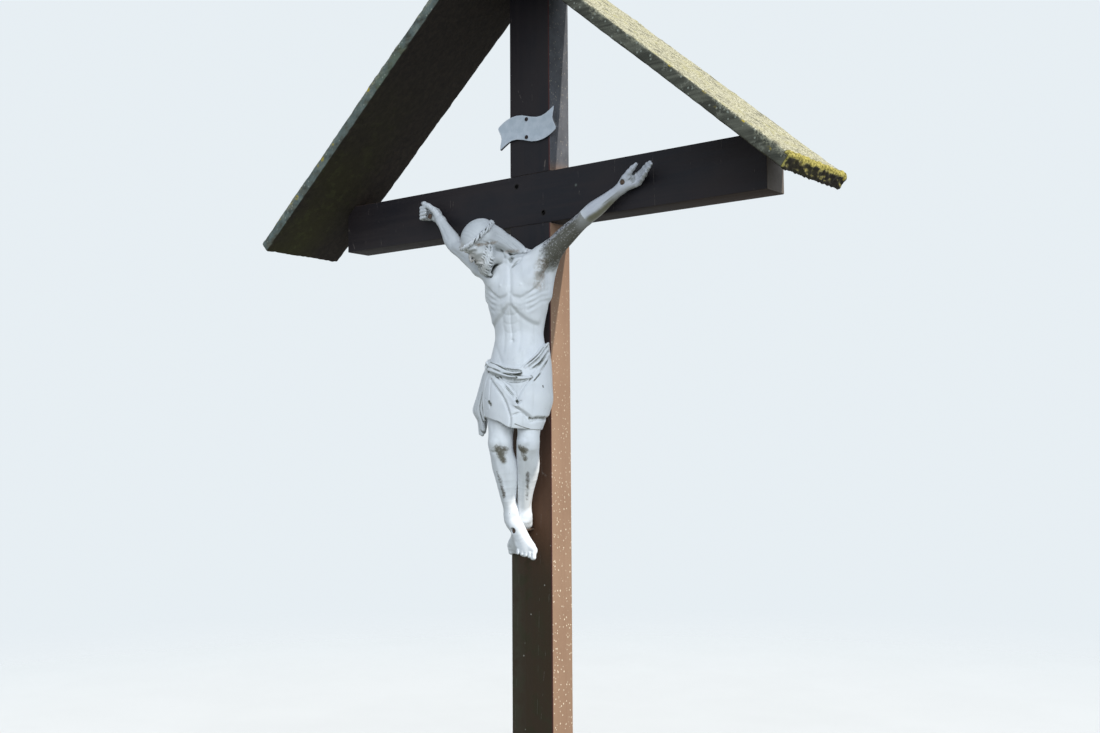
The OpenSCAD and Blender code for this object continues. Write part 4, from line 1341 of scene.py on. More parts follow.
old_arm = smudge((150, -92, -240), (300, -62, -118), 74).ramp(0.02, 0.2)
along_arm = (white.x * 0.83 + white.z * 0.55 + ragged * 0.012).ramp(1.5535, 1.5505)
arm_share = old_arm * along_arm * (white.x + ragged * 0.045).ramp(0.160, 0.200)
arm_top = up.ramp(0.05, 0.4)
arm_end = white.x.ramp(0.245, 0.285)
far_arm_shaded = white.x.ramp(0.27, 0.31)
knees = stains(
    ((4, -186, -872), (24, -168, -878), 24), ((6, -174, -892), (16, -166, -912), 20),
    ((74, -156, -868), (92, -145, -878), 19), ((78, -148, -882), (84, -138, -906), 16)
)
shins = stains(
    ((74, -108, -955), (46, -80, -1046), 13), ((-12, -160, -950), (-4, -141, -1035), 13),
    ((-34, -170, -840), (-8, -184, -868), 15)
)
# dark lines in the folds of the cloth: grime and painted shade in the creases
folds = stains(
    ((-21, -196, -714), (-9, -200, -726), 9), ((133, -100, -664), (134, -99, -667), 6),
    ((108, -140, -771), (129, -90, -767), 10), ((77, -179, -791), (104, -144, -807), 4),
    ((104, -144, -807), (119, -94, -807), 4)
)
on_cloth = white.z.ramp(1.655, 1.68) * white.z.ramp(1.93, 1.90)
# brown stains, with painted shade under the hair line and in the recess at the end of the hair
brown_stains_and_shade = stains(
    ((-30, -252, -190), (14, -196, -180), 12), ((20, -148, -206), (44, -124, -203), 15),
    ((148, -96, -250), (128, -84, -290), 26), ((-84, -236, -214), (-62, -224, -236), 30)
)
# brownish grey on the left of the face: dust and painted shade
face_dust_and_shade = smudge((-78, -236, -196), (-52, -214, -250), 56).ramp(0.1, 0.6)
armpit = smudge((140, -110, -250), (122, -98, -318), 42).ramp(0.1, 0.7)
beard = smudge((-70, -214, -246), (-30, -190, -272), 40)
under = up.ramp(-0.15, -0.85)
# a grey film on the head and on the arm on the viewer's left: dust and painted shade
head_dust_and_shade = smudge((-70, -230, -120), (20, -150, -160), 120).ramp(0.15, 0.5)
head_dust_and_shade = (head_dust_and_shade + white.x.ramp(-0.16, -0.24) * 0.6).clamped()


def blotch(share, amount):
    """Grime that is thick in the middle of a stain and breaks up into specks at its edge."""
    return (share * amount + ragged * 2.6).ramp(2.5, 4.0) * share.ramp(0.0, 0.4)


paint = white.layers(
    (0.80, 0.815, 0.83),
    (film.ramp(0.35, 0.7) * 0.8, (0.71, 0.73, 0.76)),
    (runs.ramp(0.52, 0.78) * 0.35, (0.60, 0.61, 0.60)),
    (mottle.ramp(0.6, 0.8) * 0.25, (0.62, 0.60, 0.55)),
    # the forearm and hand on the viewer's right greyed bluish: painted shade under the beam and roof
    (far_arm_shaded * 0.85, (0.55, 0.565, 0.62)),
    (head_dust_and_shade * (0.45 + film * 0.7), (0.53, 0.55, 0.57)),
    (face_dust_and_shade * (0.2 + mottle * 0.6), (0.50, 0.44, 0.37)),
    (armpit * mottle.ramp(0.35, 0.6) * 0.6, (0.36, 0.30, 0.23)),
    # darker grey on the faces turned downward: painted shade
    (under * (0.4 + mottle * 0.6), (0.42, 0.43, 0.42)),
    # its underside darker olive: green growth and painted shade
    (far_arm_shaded * up.ramp(-0.25, -0.7) * white.x.ramp(0.42, 0.37), (0.17, 0.165, 0.11)),
    (beard.ramp(0.0, 0.7) * (ragged - 0.45).clamped(), (0.36, 0.37, 0.35)),
    (blotch(brown_stains_and_shade, 1.3) * 0.85, (0.27, 0.20, 0.145)),
    (knees.clamped() * (0.15 + mottle * 0.5), (0.40, 0.39, 0.35)),
    (blotch(knees, 1.4) * 0.95, (0.11, 0.098, 0.068)),
    (blotch(shins, 1.3), (0.11, 0.10, 0.085)),
    (arm_share * 0.95, white.mix(arm_top, (0.080, 0.074, 0.052), (0.36, 0.36, 0.38))),
    (arm_share * arm_end * 0.7, (0.40, 0.40, 0.385)),
    (arm_share * arm_top * fine.ramp(0.50, 0.56) * (1 - arm_end * 0.7), (0.055, 0.055, 0.055)),
    (arm_share * fine.ramp(0.44, 0.38) * (1 - arm_end * 0.7) * 0.7, (0.42, 0.41, 0.39)),
    # darker in the hollows, to near black in the deepest: grime and painted shade
    ((hollow + (fine - 0.5) * 0.2).ramp(0.15, 0.42) * 0.75, (0.23, 0.24, 0.23)),
    ((hollow + (fine - 0.5) * 0.3).ramp(0.36, 0.62), (0.05, 0.055, 0.05)),
    # darker still in the creases of the cloth: grime and painted shade
    (on_cloth * (hollow + (fine - 0.5) * 0.3).ramp(0.05, 0.25) * 0.55, (0.28, 0.29, 0.27)),
    (on_cloth * (hollow + (fine - 0.5) * 0.35).ramp(0.18, 0.40) * 0.85, (0.06, 0.065, 0.05)),
    (blotch(folds, 1.5), (0.09, 0.09, 0.065)),
    (white.specks(0.034, 0.04, 0.12) * 0.9, (0.10, 0.10, 0.09)),
)
rough = 0.42 + arm_share * 0.4 + knees.clamped() * 0.2
height = fine * (0.35 + arm_share * 4.0) + film * 0.3
white_paint = white.close(paint, rough, height, 0.0006, 0.7)


def cast(clay, node):
    """Nets the clay as the casting of a node, painted white."""
    belongs(clay.net(node + "_cast"), white_paint, node)


# the arms and the torso, each cut from the same clay at the timber's face and at its seams,
# where it runs on as a sunk lip under its neighbour: how fast it sinks, and how far it runs
timber_face = ((0, 0, 0), backward)
lip = (0.05, 12)
arm_seam = {s: between(shoulder[s], elbow[s], 0.12) for s in (-1, 1)}
arm_way = {s: np.array(elbow[s]) - np.array(shoulder[s]) for s in (-1, 1)}
neck_seam = neck_base + (-10, -12, 11)
neck_way = neck_top - neck_base
for s, node in ((-1, "figure_arm_right"), (1, "figure_arm_left")):
    low = (-520, -190, -330) if s < 0 else (60, -150, -330)
    high = (-60, 4, 80) if s < 0 else (580, 4, 80)
    clay = Clay(low, high, cell=1.6).lay(body)
    clay.behind(arm_seam[s], -arm_way[s], *lip).behind(*timber_face)
    cast(clay, node)
clay = Clay((-160, -200, -650), (180, 4, -150), cell=2.0).lay(body)
for s in (-1, 1):
    clay.behind(arm_seam[s], arm_way[s], *lip)
clay.behind(neck_seam, neck_way, *lip)
clay.behind(*timber_face).behind((0, 0, -636), (0, 0, -1))
cast(clay, "figure_torso")

# the legs, which lie against each other and end under the hem
clay = {s: Clay((-140, -225, -1255), (160, 4, -738), cell=1.8).lay(leg(s)) for s in (-1, 1)}
for s in (-1, 1):
    clay[s].lay(wound((7, -1148), -96, 9)).behind(*timber_face).behind((0, 0, -745), upward)
clay[-1].d = np.maximum(clay[-1].d, 0.4 - clay[1].d)
for s, node in ((-1, "figure_leg_right"), (1, "figure_leg_left")):
    cast(clay[s], node)

# The loincloth: a casting of its own, gathered in a knot on the figure's right hip with a long
# tail, its folds sagging from the knot and rising to the other hip, open below round the thighs.
cloth_mm_per_degree = 1.9
girth = curved([
    (-850, 13, -112, 88, 80), (-820, 15, -112, 90, 82), (-770, 17, -106, 105, 90), (-700, 14, -96, 118, 98),
    (-640, 12, -86, 121, 96), (-590, 11, -78, 115, 88), (-510, 11, -75, 105, 79), (-480, 11, -75, 102, 77),
], 4)
girth_turn = (math.cos(math.radians(16)), math.sin(math.radians(16)))


def girth_at(z):
    """Middle, half width and half depth of the cloth's plain oval at a height."""
    return [np.interp(z, girth[:, 0], girth[:, k]) for k in range(1, 5)]


def hip_skin(rows, out):
    """Places a height out from the cloth's oval, from rows of angle, height and radius."""
    made = []
    for angle, z, *more in rows:
        cx, cy, wide, deep = girth_at(z)
        t = math.radians(angle)
        u, v = (wide + out) * math.sin(t), -(deep + out) * math.cos(t)
        x = cx + u * girth_turn[0] - v * girth_turn[1]
        y = cy + u * girth_turn[1] + v * girth_turn[0]
        made.append((x, y, z, *more))
    return made


def fold(rows, out, soft, way="add", steps=4):
    """A stroke laid on the cloth, a height out from its oval."""
    return strand(hip_skin(rows, out), soft, way, steps)


def crease(rows, out, width, depth):
    """A line drawn into the cloth."""
    return groove(hip_skin(rows, out), width, depth)


def round_hips(x, y, z):
    """Height over the plain oval, and the angle from the front."""
    cx, cy, wide, deep = girth_at(z)
    u = (x - cx) * girth_turn[0] + (y - cy) * girth_turn[1]
    v = -(x - cx) * girth_turn[1] + (y - cy) * girth_turn[0]
    out = np.sqrt(u * u + v * v)
    k = np.sqrt((u / wide) ** 2 + (v / deep) ** 2)
    return out - out / np.maximum(k, 1e-3), np.degrees(np.arctan2(u, -v))


def lap(s, z, line, rise, fade, drop, width):
    """A fold's edge along a line of (angle, z): high on the left of its course, low beyond."""
    best = np.full(np.broadcast(s, z).shape, 1e9)
    hand = np.zeros(best.shape)
    for (s0, z0), (s1, z1) in zip(line[:-1], line[1:]):
        s0, s1 = cloth_mm_per_degree * s0, cloth_mm_per_degree * s1
        ds, dz = s1 - s0, z1 - z0
        t = np.clip(((s - s0) * ds + (z - z0) * dz) / (ds * ds + dz * dz), 0, 1)
        far = (s - s0 - t * ds) ** 2 + (z - z0 - t * dz) ** 2
        turn = ds * (z - z0) - dz * (s - s0)
        hand = np.where(far < best, turn, hand)
        best = np.minimum(best, far)
    near = np.clip(np.sqrt(best) / 5.0, 0, 1)
    high = rise * near * np.exp(-best / fade**2)
    return np.where(hand > 0, high, -drop * near * np.exp(-best / width**2))


def pressed(s, z, line, half, depth):
    """A soft line in the cloth, along points of angle and height."""
    line = [(cloth_mm_per_degree * angle, height) for angle, height in line]
    return score(s, z, line, half, depth)


def cloth_relief(x, y, z):
    """The folds over the plain oval, in millimetres, less where they stand out."""
    s = round_hips(x, y, z)[1] * cloth_mm_per_degree
    h = (
        blob(s, z, 105, -690, 50, 62, 4.0) + blob(s, z, 205, -716, 66, 46, 11.0)
        + blob(s, z, -62, -720, 34, 56, 4.5)
    )
    h += (
        blob(s, z, 30, -655, 36, 12, 2.5) + blob(s, z, 62, -792, 40, 18, 3.0)
        + blob(s, z, 44, -682, 12, 18, -3.5)
    )
    h += lap(
        s, z, [(26, -722), (20, -708), (12, -692), (4, -677), (-7, -657), (-20, -638)], 5.0, 13, 8.0, 6.5
    )
    h += lap(s, z, [
        (-34, -638), (-26, -652), (-18, -666), (-5, -690), (5, -718), (11, -746), (16, -769), (17, -808)
    ], 4.0, 13, 6.0, 7.5)
    h += lap(s, z, [(23, -702), (19, -686), (10, -668), (-2, -655), (-14, -635)], 3.0, 6, 6.5, 5.0)
    h += lap(
        s, z, [(58, -621), (47, -647), (42, -661), (37, -672), (33, -685), (29, -702), (28, -720)], 2.5, 12,
        6.5, 7.0
    )
    h += lap(s, z, [
        (26, -736), (35, -744), (44, -754), (51, -764), (57, -772), (64, -768), (74, -768), (86, -770),
        (104, -766), (140, -756)
    ], 3.5, 20, 6.0, 8.0)
    h += pressed(s, z, [
        (19, -762), (27, -757), (32, -754), (39, -759), (45, -766), (50, -778), (56, -785), (63, -783),
        (67, -775)
    ], 4.2, 4.5)
    h += pressed(s, z, [(70, -776), (84, -776), (100, -772)], 4.6, 3.0)
    h += pressed(s, z, [(25, -716), (29, -721), (33, -716)], 4.0, 5.0)
    h += pressed(s, z, [(-40, -624), (-36, -657), (-34, -685), (-33, -735)], 3.0, 2.4)
    h += lap(s, z, [(-58, -770), (-57, -690), (-53, -645), (-47, -622)], 2.0, 10, 5.0, 5.0)
    for a, c, r, sunk in (
        (-47, -705, 3.4, 3.0), (-42, -709, 3, 2.5), (-36, -714, 3.4, 3.2), (-30, -721, 3.4, 3.0),
        (-37, -724, 2.6, 2.2), (-41, -742, 2.6, 2.0), (71, -665, 2.4, 2.4), (81, -742, 2, 1.6)
    ):
        h -= blob(s, z, cloth_mm_per_degree * a, c, r, r * 0.7, sunk)
    return -h


# the two edges of the cloth, points of angle and height
top_line = [
    (-180, -530), (-120, -548), (-90, -562), (-60, -572), (-38, -584), (-10, -598), (10, -602),
    (24, -603), (30, -600), (43, -580), (52, -566), (60, -553), (72, -533), (88, -517), (120, -513),
    (180, -528),
]
hem_line = [
    (-180, -800), (-120, -782), (-90, -768), (-56, -764), (-39, -771), (-11, -784), (5, -798),
    (16, -804), (32, -806), (47, -808), (81, -811), (130, -808), (180, -800),
]


def past_edge(line, hand):
    """What lies above an edge of the cloth, or below it where the hand is -1, to be cut."""

    def field(x, y, z):
        b = round_hips(x, y, z)[1]
        return hand * (z - np.interp(b, [p[0] for p in line], [p[1] for p in line])) * 0.85

    return field


def hem_room(x, y, z):
    """The room round the thighs that makes the hem stand off."""
    high, b = round_hips(x, y, z)
    hem = np.interp(b, [p[0] for p in hem_line], [p[1] for p in hem_line])
    return np.maximum(high + 12, z - hem - 16)


cloth_box = ((-116, -218, -850), (150, 20, -500))
cloth = [Touch([(*cloth_box, lambda x, y, z: round_hips(x, y, z)[0])], soft=0)]
for s in (-1, 1):
    middle, low = (9, 6) if s < 0 else (6, 4)
    middle, low = thigh[s][0] + middle, thigh[s][1] + low
    cloth.append(limb([
        (*hip[s], 52, 54), (*between(hip[s], knee[s], 0.5), middle, middle + 3),
        (*between(hip[s], knee[s], 0.86), low, low + 2), (*knee[s], 40, 42),
    ], (0, 1, 0), 14))
cloth += [
    Touch([(*cloth_box, cloth_relief)], "move", 0),
    Touch([((-116, -218, -640), (150, 20, -490), past_edge(top_line, -1))], "cut", 1.5),
    Touch([((-116, -218, -850), (150, 20, -740), past_edge(hem_line, 1))], "cut", 1.5),
    Touch([((-116, -215, -850), (145, 20, -735), hem_room)], "cut", 2.0),
    fold([(a, z, 3.2) for a, z in top_line[8:15]], 0.5, 3, steps=3),
    crease([(28, -597), (43, -576), (52, -562), (60, -549), (72, -529), (86, -513)], 0, 2.4, 1.6),
    fold([(40, -604, 4), (56, -580, 5), (70, -556, 5), (86, -534, 5)], -1, 6),
    fold([(44, -630, 4), (58, -602, 5), (72, -577, 5), (90, -552, 5)], -1, 6),
    crease([(38, -607), (47, -598), (56, -586), (67, -565), (80, -547), (92, -534)], 1, 2.6, 2.2),
    crease([(50, -588), (60, -570), (72, -552)], 2, 2.0, 1.2),
    crease([(40, -655), (47, -646), (53, -632), (58, -621), (63, -606), (71, -588), (84, -568)], 1, 2.8, 2.6),
    # the gathered folds from the knot
    fold([
        (-44, -592, 9), (-38, -597, 13), (-28, -605, 14.5), (-15, -615, 13), (-3, -625, 10), (9, -632, 8),
        (21, -637, 6), (32, -638, 4.5), (41, -635, 3)
    ], 1, 5),
    fold([
        (-36, -588, 5), (-27, -593, 6), (-16, -602, 5.4), (-6, -611, 4.6), (4, -618, 3.8), (13, -621, 3.2),
        (22, -619, 2.4)
    ], 7, 3),
    fold([(-36, -605, 4), (-22, -613, 4.4), (-8, -623, 3.8), (4, -631, 3.2), (16, -635, 2.4)], 12, 4),
    fold([(-5, -604, 2), (1, -607, 4.2), (9, -610.5, 5), (17, -611, 4.4), (23, -613, 2.4)], 1.5, 3, "cut"),
    fold([(-4, -621, 1), (4, -625.5, 2), (13, -628, 2.4), (21, -626.5, 1.6)], 10, 2.0, "cut"),
    fold([
        (-14, -635, 2), (-4, -642, 4), (8, -648, 5), (20, -649, 5), (30, -646, 4), (38, -641, 2)
    ], 4, 3, "cut"),
    crease([(-40, -594), (-28, -600), (-16, -609), (-4, -619)], 13, 2.6, 2.2),
    crease([(-38, -614), (-26, -619), (-12, -628), (2, -638)], 11, 3.0, 2.2),
]
knot_at = np.array(hip_skin([(-44, -589)], 4)[0])


def at_knot(rows):
    """Rows given from the middle of the knot."""
    return [(*(knot_at + row[:3]), *row[3:]) for row in rows]


cloth += [
    egg(knot_at, (11, 10, 14), soft=8),
    strand(at_knot([(-7, 2, 11, 5), (-1, -9, 5, 5.5), (9, -7, -6, 5)]), 3),
    strand(at_knot([(-9, 1, 1, 5), (-4, -9, -6, 5.5), (4, -7, -17, 5)]), 3),
    groove(at_knot([(-8, -9, 9), (1, -14, 0), (10, -12, -9)]), 2.5, 3),
    # the tail: a pleated fall of cloth, fuller below
    strand([
        (-98, -96, -600, 13), (-122, -88, -690, 15), (-144, -86, -738, 15), (-138, -88, -778, 12),
        (-136, -92, -812, 8)
    ], 8),
    strand([
        (-102, -108, -600, 9), (-124, -102, -630, 9), (-148, -98, -690, 11), (-166, -97, -732, 12),
        (-163, -97, -748, 11), (-149, -96, -772, 10), (-145, -97, -800, 9), (-143, -97, -818, 8)
    ], 8),
    strand([
        (-96, -118, -600, 9), (-108, -118, -630, 9), (-127, -115, -690, 11), (-142, -113, -732, 12),
        (-140, -113, -750, 11), (-130, -111, -774, 10), (-128, -109, -800, 9)
    ], 8),
    strand([
        (-112, -102, -596, 6), (-127, -98, -616, 7), (-138, -96, -642, 8), (-158, -92, -690, 9),
        (-177, -90, -732, 9.5), (-174, -90, -748, 9), (-158, -90, -772, 8.5), (-152, -92, -800, 8),
        (-151, -92, -818, 7)
    ], 4),
    strand([
        (-100, -116, -598, 6), (-111, -112, -616, 7), (-119, -110, -642, 8), (-137, -108, -690, 10),
        (-154, -106, -732, 10), (-152, -106, -750, 9.5), (-139, -105, -774, 9), (-136, -104, -800, 8),
        (-135, -102, -822, 7)
    ], 4),
    strand([
        (-88, -128, -602, 6), (-98, -125, -620, 7), (-102, -124, -644, 8), (-116, -124, -690, 9),
        (-129, -122, -732, 9.5), (-128, -121, -752, 9), (-120, -118, -776, 8), (-119, -114, -806, 7)
    ], 4),
    strand([
        (-78, -138, -608, 6), (-84, -136, -640, 6.5), (-95, -137, -690, 7), (-105, -135, -730, 8),
        (-104, -133, -752, 7), (-100, -130, -772, 6)
    ], 4),
    groove([
        (-94, -130, -614), (-98, -134, -650), (-107, -135, -700), (-118, -134, -745), (-114, -130, -780)
    ], 3, 2.4),
    groove([
        (-112, -118, -610), (-122, -116, -650), (-139, -114, -700), (-152, -112, -740), (-142, -110, -780),
        (-136, -108, -815)
    ], 3, 2.0),
]
clay = Clay((-200, -225, -855), (162, 4, -488), cell=2.0).lay(cloth).behind(*timber_face)
cast(clay, "loincloth")

# The head, sunk forward and turned to its right shoulder, cast with the neck: smooth hair swept
# back over the left shoulder, closed eyes and a curly beard, the face a plain one by proportion.
head_at = np.array((-51, -212, -162))


def pose(tilt):
    """The turn of the head for a forward tilt in degrees."""
    angles = [math.radians(angle) for angle in (tilt, 4, -30)]
    (ct, st), (cl, sl), (cs, ss) = ((math.cos(angle), math.sin(angle)) for angle in angles)
    sideways = np.array(((cs, -ss, 0), (ss, cs, 0), (0, 0, 1)))
    lean = np.array(((cl, 0, sl), (0, 1, 0), (-sl, 0, cl)))
    return sideways @ lean @ np.array(((1, 0, 0), (0, ct, -st), (0, st, ct)))


face_pose = pose(41)
head_axes = face_pose.T


def on_head(rows, turn=face_pose):
    """Rows of head measures, from the middle of the head at the crown, placed on the figure."""
    return [(*(head_at + turn @ np.array(row[:3], float)), *row[3:]) for row in rows]


def on_face(x, y, z):
    """One place in head measures, on the figure."""
    return on_head([(x, y, z)])[0]


def lock(rows, soft):
    """A stroke through rows of head measures."""
    return strand(on_head(rows), soft)


def line_in(rows, width, depth):
    """A line drawn into the head through rows of head measures."""
    return groove(on_head(rows), width, depth)


def ball_on(at, radii, soft=6.0):
    """An ellipsoid in the head's axes."""
    return egg(on_face(*at), radii, head_axes, soft)


def press(at, radii, amount):
    """A swelling of the head, or a dent where the amount is negative."""
    return swell(on_face(*at), radii, amount, head_axes)


def settled(clay, rows, way):
    """Rows of places moved along a direction until they lie on the clay."""
    made = []
    way = np.array(way, float) / np.linalg.norm(way)
    for row in rows:
        steps = np.array(row[:3], float) + way * np.arange(-50, 60, 0.8)[:, None]
        high = clay.low + clay.cell * (np.array(clay.d.shape) - 3)
        struck = np.nonzero(clay.sample(np.clip(steps, clay.low + 3, high)) < 0)[0]
        if len(struck):
            made.append((*steps[struck[0]], *row[3:]))
    return made


head = [
    ball_on((0, 6, 8), (53, 66, 55)),
    limb(on_head([
        (0, -8, 0, 46, 54), (0, -14, -30, 43, 47), (0, -22, -58, 34, 38), (0, -30, -80, 22, 25),
        (0, -34, -92, 12, 14)
    ]), head_axes[1], 12),
    lock([(34, 4, -42, 11), (30, -22, -68, 10), (12, -46, -86, 9)], 14),
    lock([(-34, 4, -42, 11), (-30, -22, -68, 10), (-12, -46, -86, 9)], 14),
    ball_on((0, -50, -85), (13, 12, 11), 10),
    lock([(0, -57, -14, 4.6), (0, -64, -26, 5.0), (0, -69.5, -38, 5.6), (0, -70.5, -42.5, 5.2)], 6),
    press((0, -64, -14), (10, 8, 5), -2.0),
    line_in([(-5, -70, -47.5), (0, -74, -48.5), (5, -70, -47.5)], 1.8, 1.2),
]
for s in (-1, 1):
    head += [
        lock([(s * 7, -60, -7, 4), (s * 22, -57, -3.5, 5), (s * 37, -45, -9, 4)], 12),
        press((s * 19, -58, -19), (13, 10, 8), -6.5),
        ball_on((s * 19, -46.5, -20), (10.5, 9.5, 9), 3),
        line_in([(s * 9.5, -55, -21), (s * 19, -57, -25.5), (s * 29, -52, -22)], 1.5, 2.2),
        line_in([(s * 10, -56, -14), (s * 19, -58.5, -11), (s * 30, -52, -15)], 1.7, 1.8),
        line_in([(s * 11, -54, -28), (s * 20, -55, -31.5), (s * 29, -51, -28)], 2.4, 0.9),
        ball_on((s * 6.4, -63.5, -42), (4.3, 5.8, 4.2), 3.5),
        line_in([(s * 9.6, -64, -38), (s * 11.6, -61.5, -42), (s * 10.4, -61, -46)], 1.6, 1.2),
        press((s * 3.4, -67, -47), (2.2, 3.0, 2.2), -1.6),
        press((s * 33, -47, -31), (15, 13, 10), 3.0),
        press((s * 31, -42, -53), (12, 12, 14), -3.2),
        line_in([(s * 12, -62, -50), (s * 19, -57, -57), (s * 23, -52, -65)], 3.0, 1.2),
        press((s * 44, -28, -10), (13, 16, 14), -2.5),
    ]
head += [
    lock([
        (-11, -55, -67, 2.2), (-4.5, -59.2, -65.8, 2.9), (0, -59.4, -66.3, 2.7), (4.5, -59.2, -65.8, 2.9),
        (11, -55, -67, 2.2)
    ], 3.5),
    lock([(-9, -54, -71.5, 2.6), (0, -58, -72, 3.4), (9, -54, -71.5, 2.6)], 3.5),
    line_in([(-12, -56, -68.6), (0, -62, -69), (12, -56, -68.6)], 1.5, 1.5),
    press((0, -58, -79), (11, 7, 4), -2.4),
    # the throat below the jaw
    strand([(-34, -188, -210, 24), (-24, -152, -216, 29), (-12, -112, -222, 33)], 14),
    # hair swept to the left shoulder, and shorter to the other side and the nape
    strand([
        (-12, -208, -152, 20), (-11, -184, -148, 21), (2, -157, -154, 20), (20, -134, -167, 17),
        (42, -110, -186, 13), (56, -98, -201, 9)
    ], 12),
    strand([
        (-28, -238, -174, 14), (-20, -214, -173, 17), (-11, -186, -176, 16), (3, -159, -184, 14),
        (15, -138, -198, 11), (28, -123, -209, 7)
    ], 10),
    strand([
        (-12, -216, -164, 19), (-2, -186, -169, 18), (14, -153, -178, 15), (34, -127, -196, 11),
        (45, -112, -206, 7)
    ], 10),
    lock([
        (-38, -26, 0, 16), (-42, -4, -18, 18), (-38, 20, -38, 18), (-30, 40, -58, 16), (-20, 50, -76, 12)
    ], 10),
    lock([(-30, 34, -4, 20), (-18, 52, -26, 18), (-8, 58, -50, 16), (0, 60, -70, 12)], 12),
    lock([(14, 50, -2, 20), (20, 62, -24, 17), (22, 64, -48, 14), (24, 62, -70, 10)], 12),
    lock([(-44, -38, 2, 6), (-47, -30, -18, 7), (-46, -18, -38, 7), (-42, -6, -56, 5)], 5),
]
# beard: a mass round the jaw, fuller at the chin, and the lip hair
for s in (-1, 1):
    head.append(lock([
        (s * 42, 2, -38, 7), (s * 38, -16, -62, 9), (s * 27, -38, -82, 11), (s * 9, -52, -93, 12)
    ], 8))
head += [
    ball_on((5, -50, -98), (17, 13, 15), 8),
    lock([(10, -50, -104, 8), (12, -50, -113, 6), (9, -46, -119, 3.5)], 5),
    lock([(-5, -50, -104, 8), (-7, -50, -112, 6), (-5, -46, -118, 3.5)], 5),
]
for s in (-1, 1):
    head += [
        lock([
            (s * 2, -61.5, -55, 2.8), (s * 10, -60, -58, 3.8), (s * 18.5, -54, -64.5, 3.8),
            (s * 25, -46, -76, 3.0)
        ], 4),
        line_in([(s * 3, -64.5, -56), (s * 11, -63.5, -59.5), (s * 20, -57, -67)], 1.4, 0.9),
        line_in([(s * 6, -64.5, -53.5), (s * 13, -62, -56.5), (s * 22, -54.5, -65)], 1.2, 0.7),
    ]
low, high = (-165, -300, -330), (90, -62, -86)
clay = Clay(low, high, cell=1.3).lay(head)

# wavy locks laid on the beard in rows, and combed lines on the hair
chance = np.random.default_rng(11)
curls = []
for row, (level, ends) in enumerate(((-112, 0.8), (-99, 1.2), (-86, 1.6), (-73, 1.8), (-60, 1.95))):
    phase = chance.uniform(0, 6)
    for k in range(-12, 13):
        a = 0.165 * (k + 0.5 * (row % 2)) + chance.uniform(-0.02, 0.02)
        if abs(a) > ends or (row == 4 and abs(a) < 0.8):
            continue
        top = level + 34 * (1 - math.cos(a)) * (0.2 + 0.2 * row) + chance.uniform(-3, 3)
        hook, long, turn = chance.uniform(-0.1, 0.1), chance.uniform(21, 28), chance.uniform(-0.5, 0.5)
        rows = []
        for i in range(8):
            t = i / 7
            b = a - 0.10 * t * np.sign(a) + 0.045 * math.sin(4.8 * t + phase + 0.25 * k + turn) + hook * t**4
            out = np.array((math.sin(b), -math.cos(b), -0.12))
            rows.append((*on_face(*(np.array((0, -10, top - long * t)) + 62 * out)), 4.7 - 2.9 * t * t))
        way = face_pose @ -np.array((math.sin(a), -math.cos(a), -0.12))
        struck = [(np.array(p[:3]), p[3]) for p in settled(clay, rows, way)]
        laid = [
            (*(at - (0.2 * row - 0.6) * way), thick)
            for at, thick in struck if np.linalg.norm(at - struck[0][0]) < 30
        ]
        if len(laid) > 4:
            curls.append(strand(laid, 0.9, steps=2))
combed = []
for j in range(10):
    share = j / 9
    rows = [
        between((-40, -238, -180), (8, -176, -126), share),
        between((-16, -194, -191), (14, -160, -133), share),
        between((3, -160, -200), (26, -134, -150), share), between((28, -128, -218), (68, -98, -196), share)
    ]
    rows = settled(clay, rows, between((-0.6, 0.8, 0.15), (-0.15, 0.35, -0.9), share))
    if len(rows) > 2:
        combed.append(groove(rows, 2.2, 1.1 - 0.4 * share))
for j in range(22):
    a = math.radians(-190 + 11 * j) if j < 16 else math.radians(20 + 12 * (j - 16))
    out = np.array((math.sin(a), -math.cos(a), 0))
    if -2.0 < a < -0.95 or math.cos(a) < 0.1:
        rows = on_head([(*(60 * out + (0, 6, z)),) for z in (-2, -20, -38, -56, -72)])
        rows = settled(clay, rows, face_pose @ -out)
        if len(rows) > 2:
            combed.append(groove(rows, 2.2, 1.6))
for s in (-1, 1):
    for j in range(9):
        back = j / 8
        rows = on_head([
            (s * 2, -40 + 88 * back, 66), (s * 22, -42 + 90 * back, 62),
            (s * 40, -38 + 88 * back, 46), (s * 52, -30 + 84 * back, 20),
        ])
        rows = settled(clay, rows, face_pose @ np.array((-0.5 * s, -0.1 * (2 * back - 1), -1)))
        combed.append(groove(rows, 1.9, 0.8))
neck = Clay(low, high, cell=1.3).lay(body).behind(neck_seam, -neck_way, *lip)
clay.lay(curls + combed).join(neck, 3.0)
cast(clay, "figure_head")

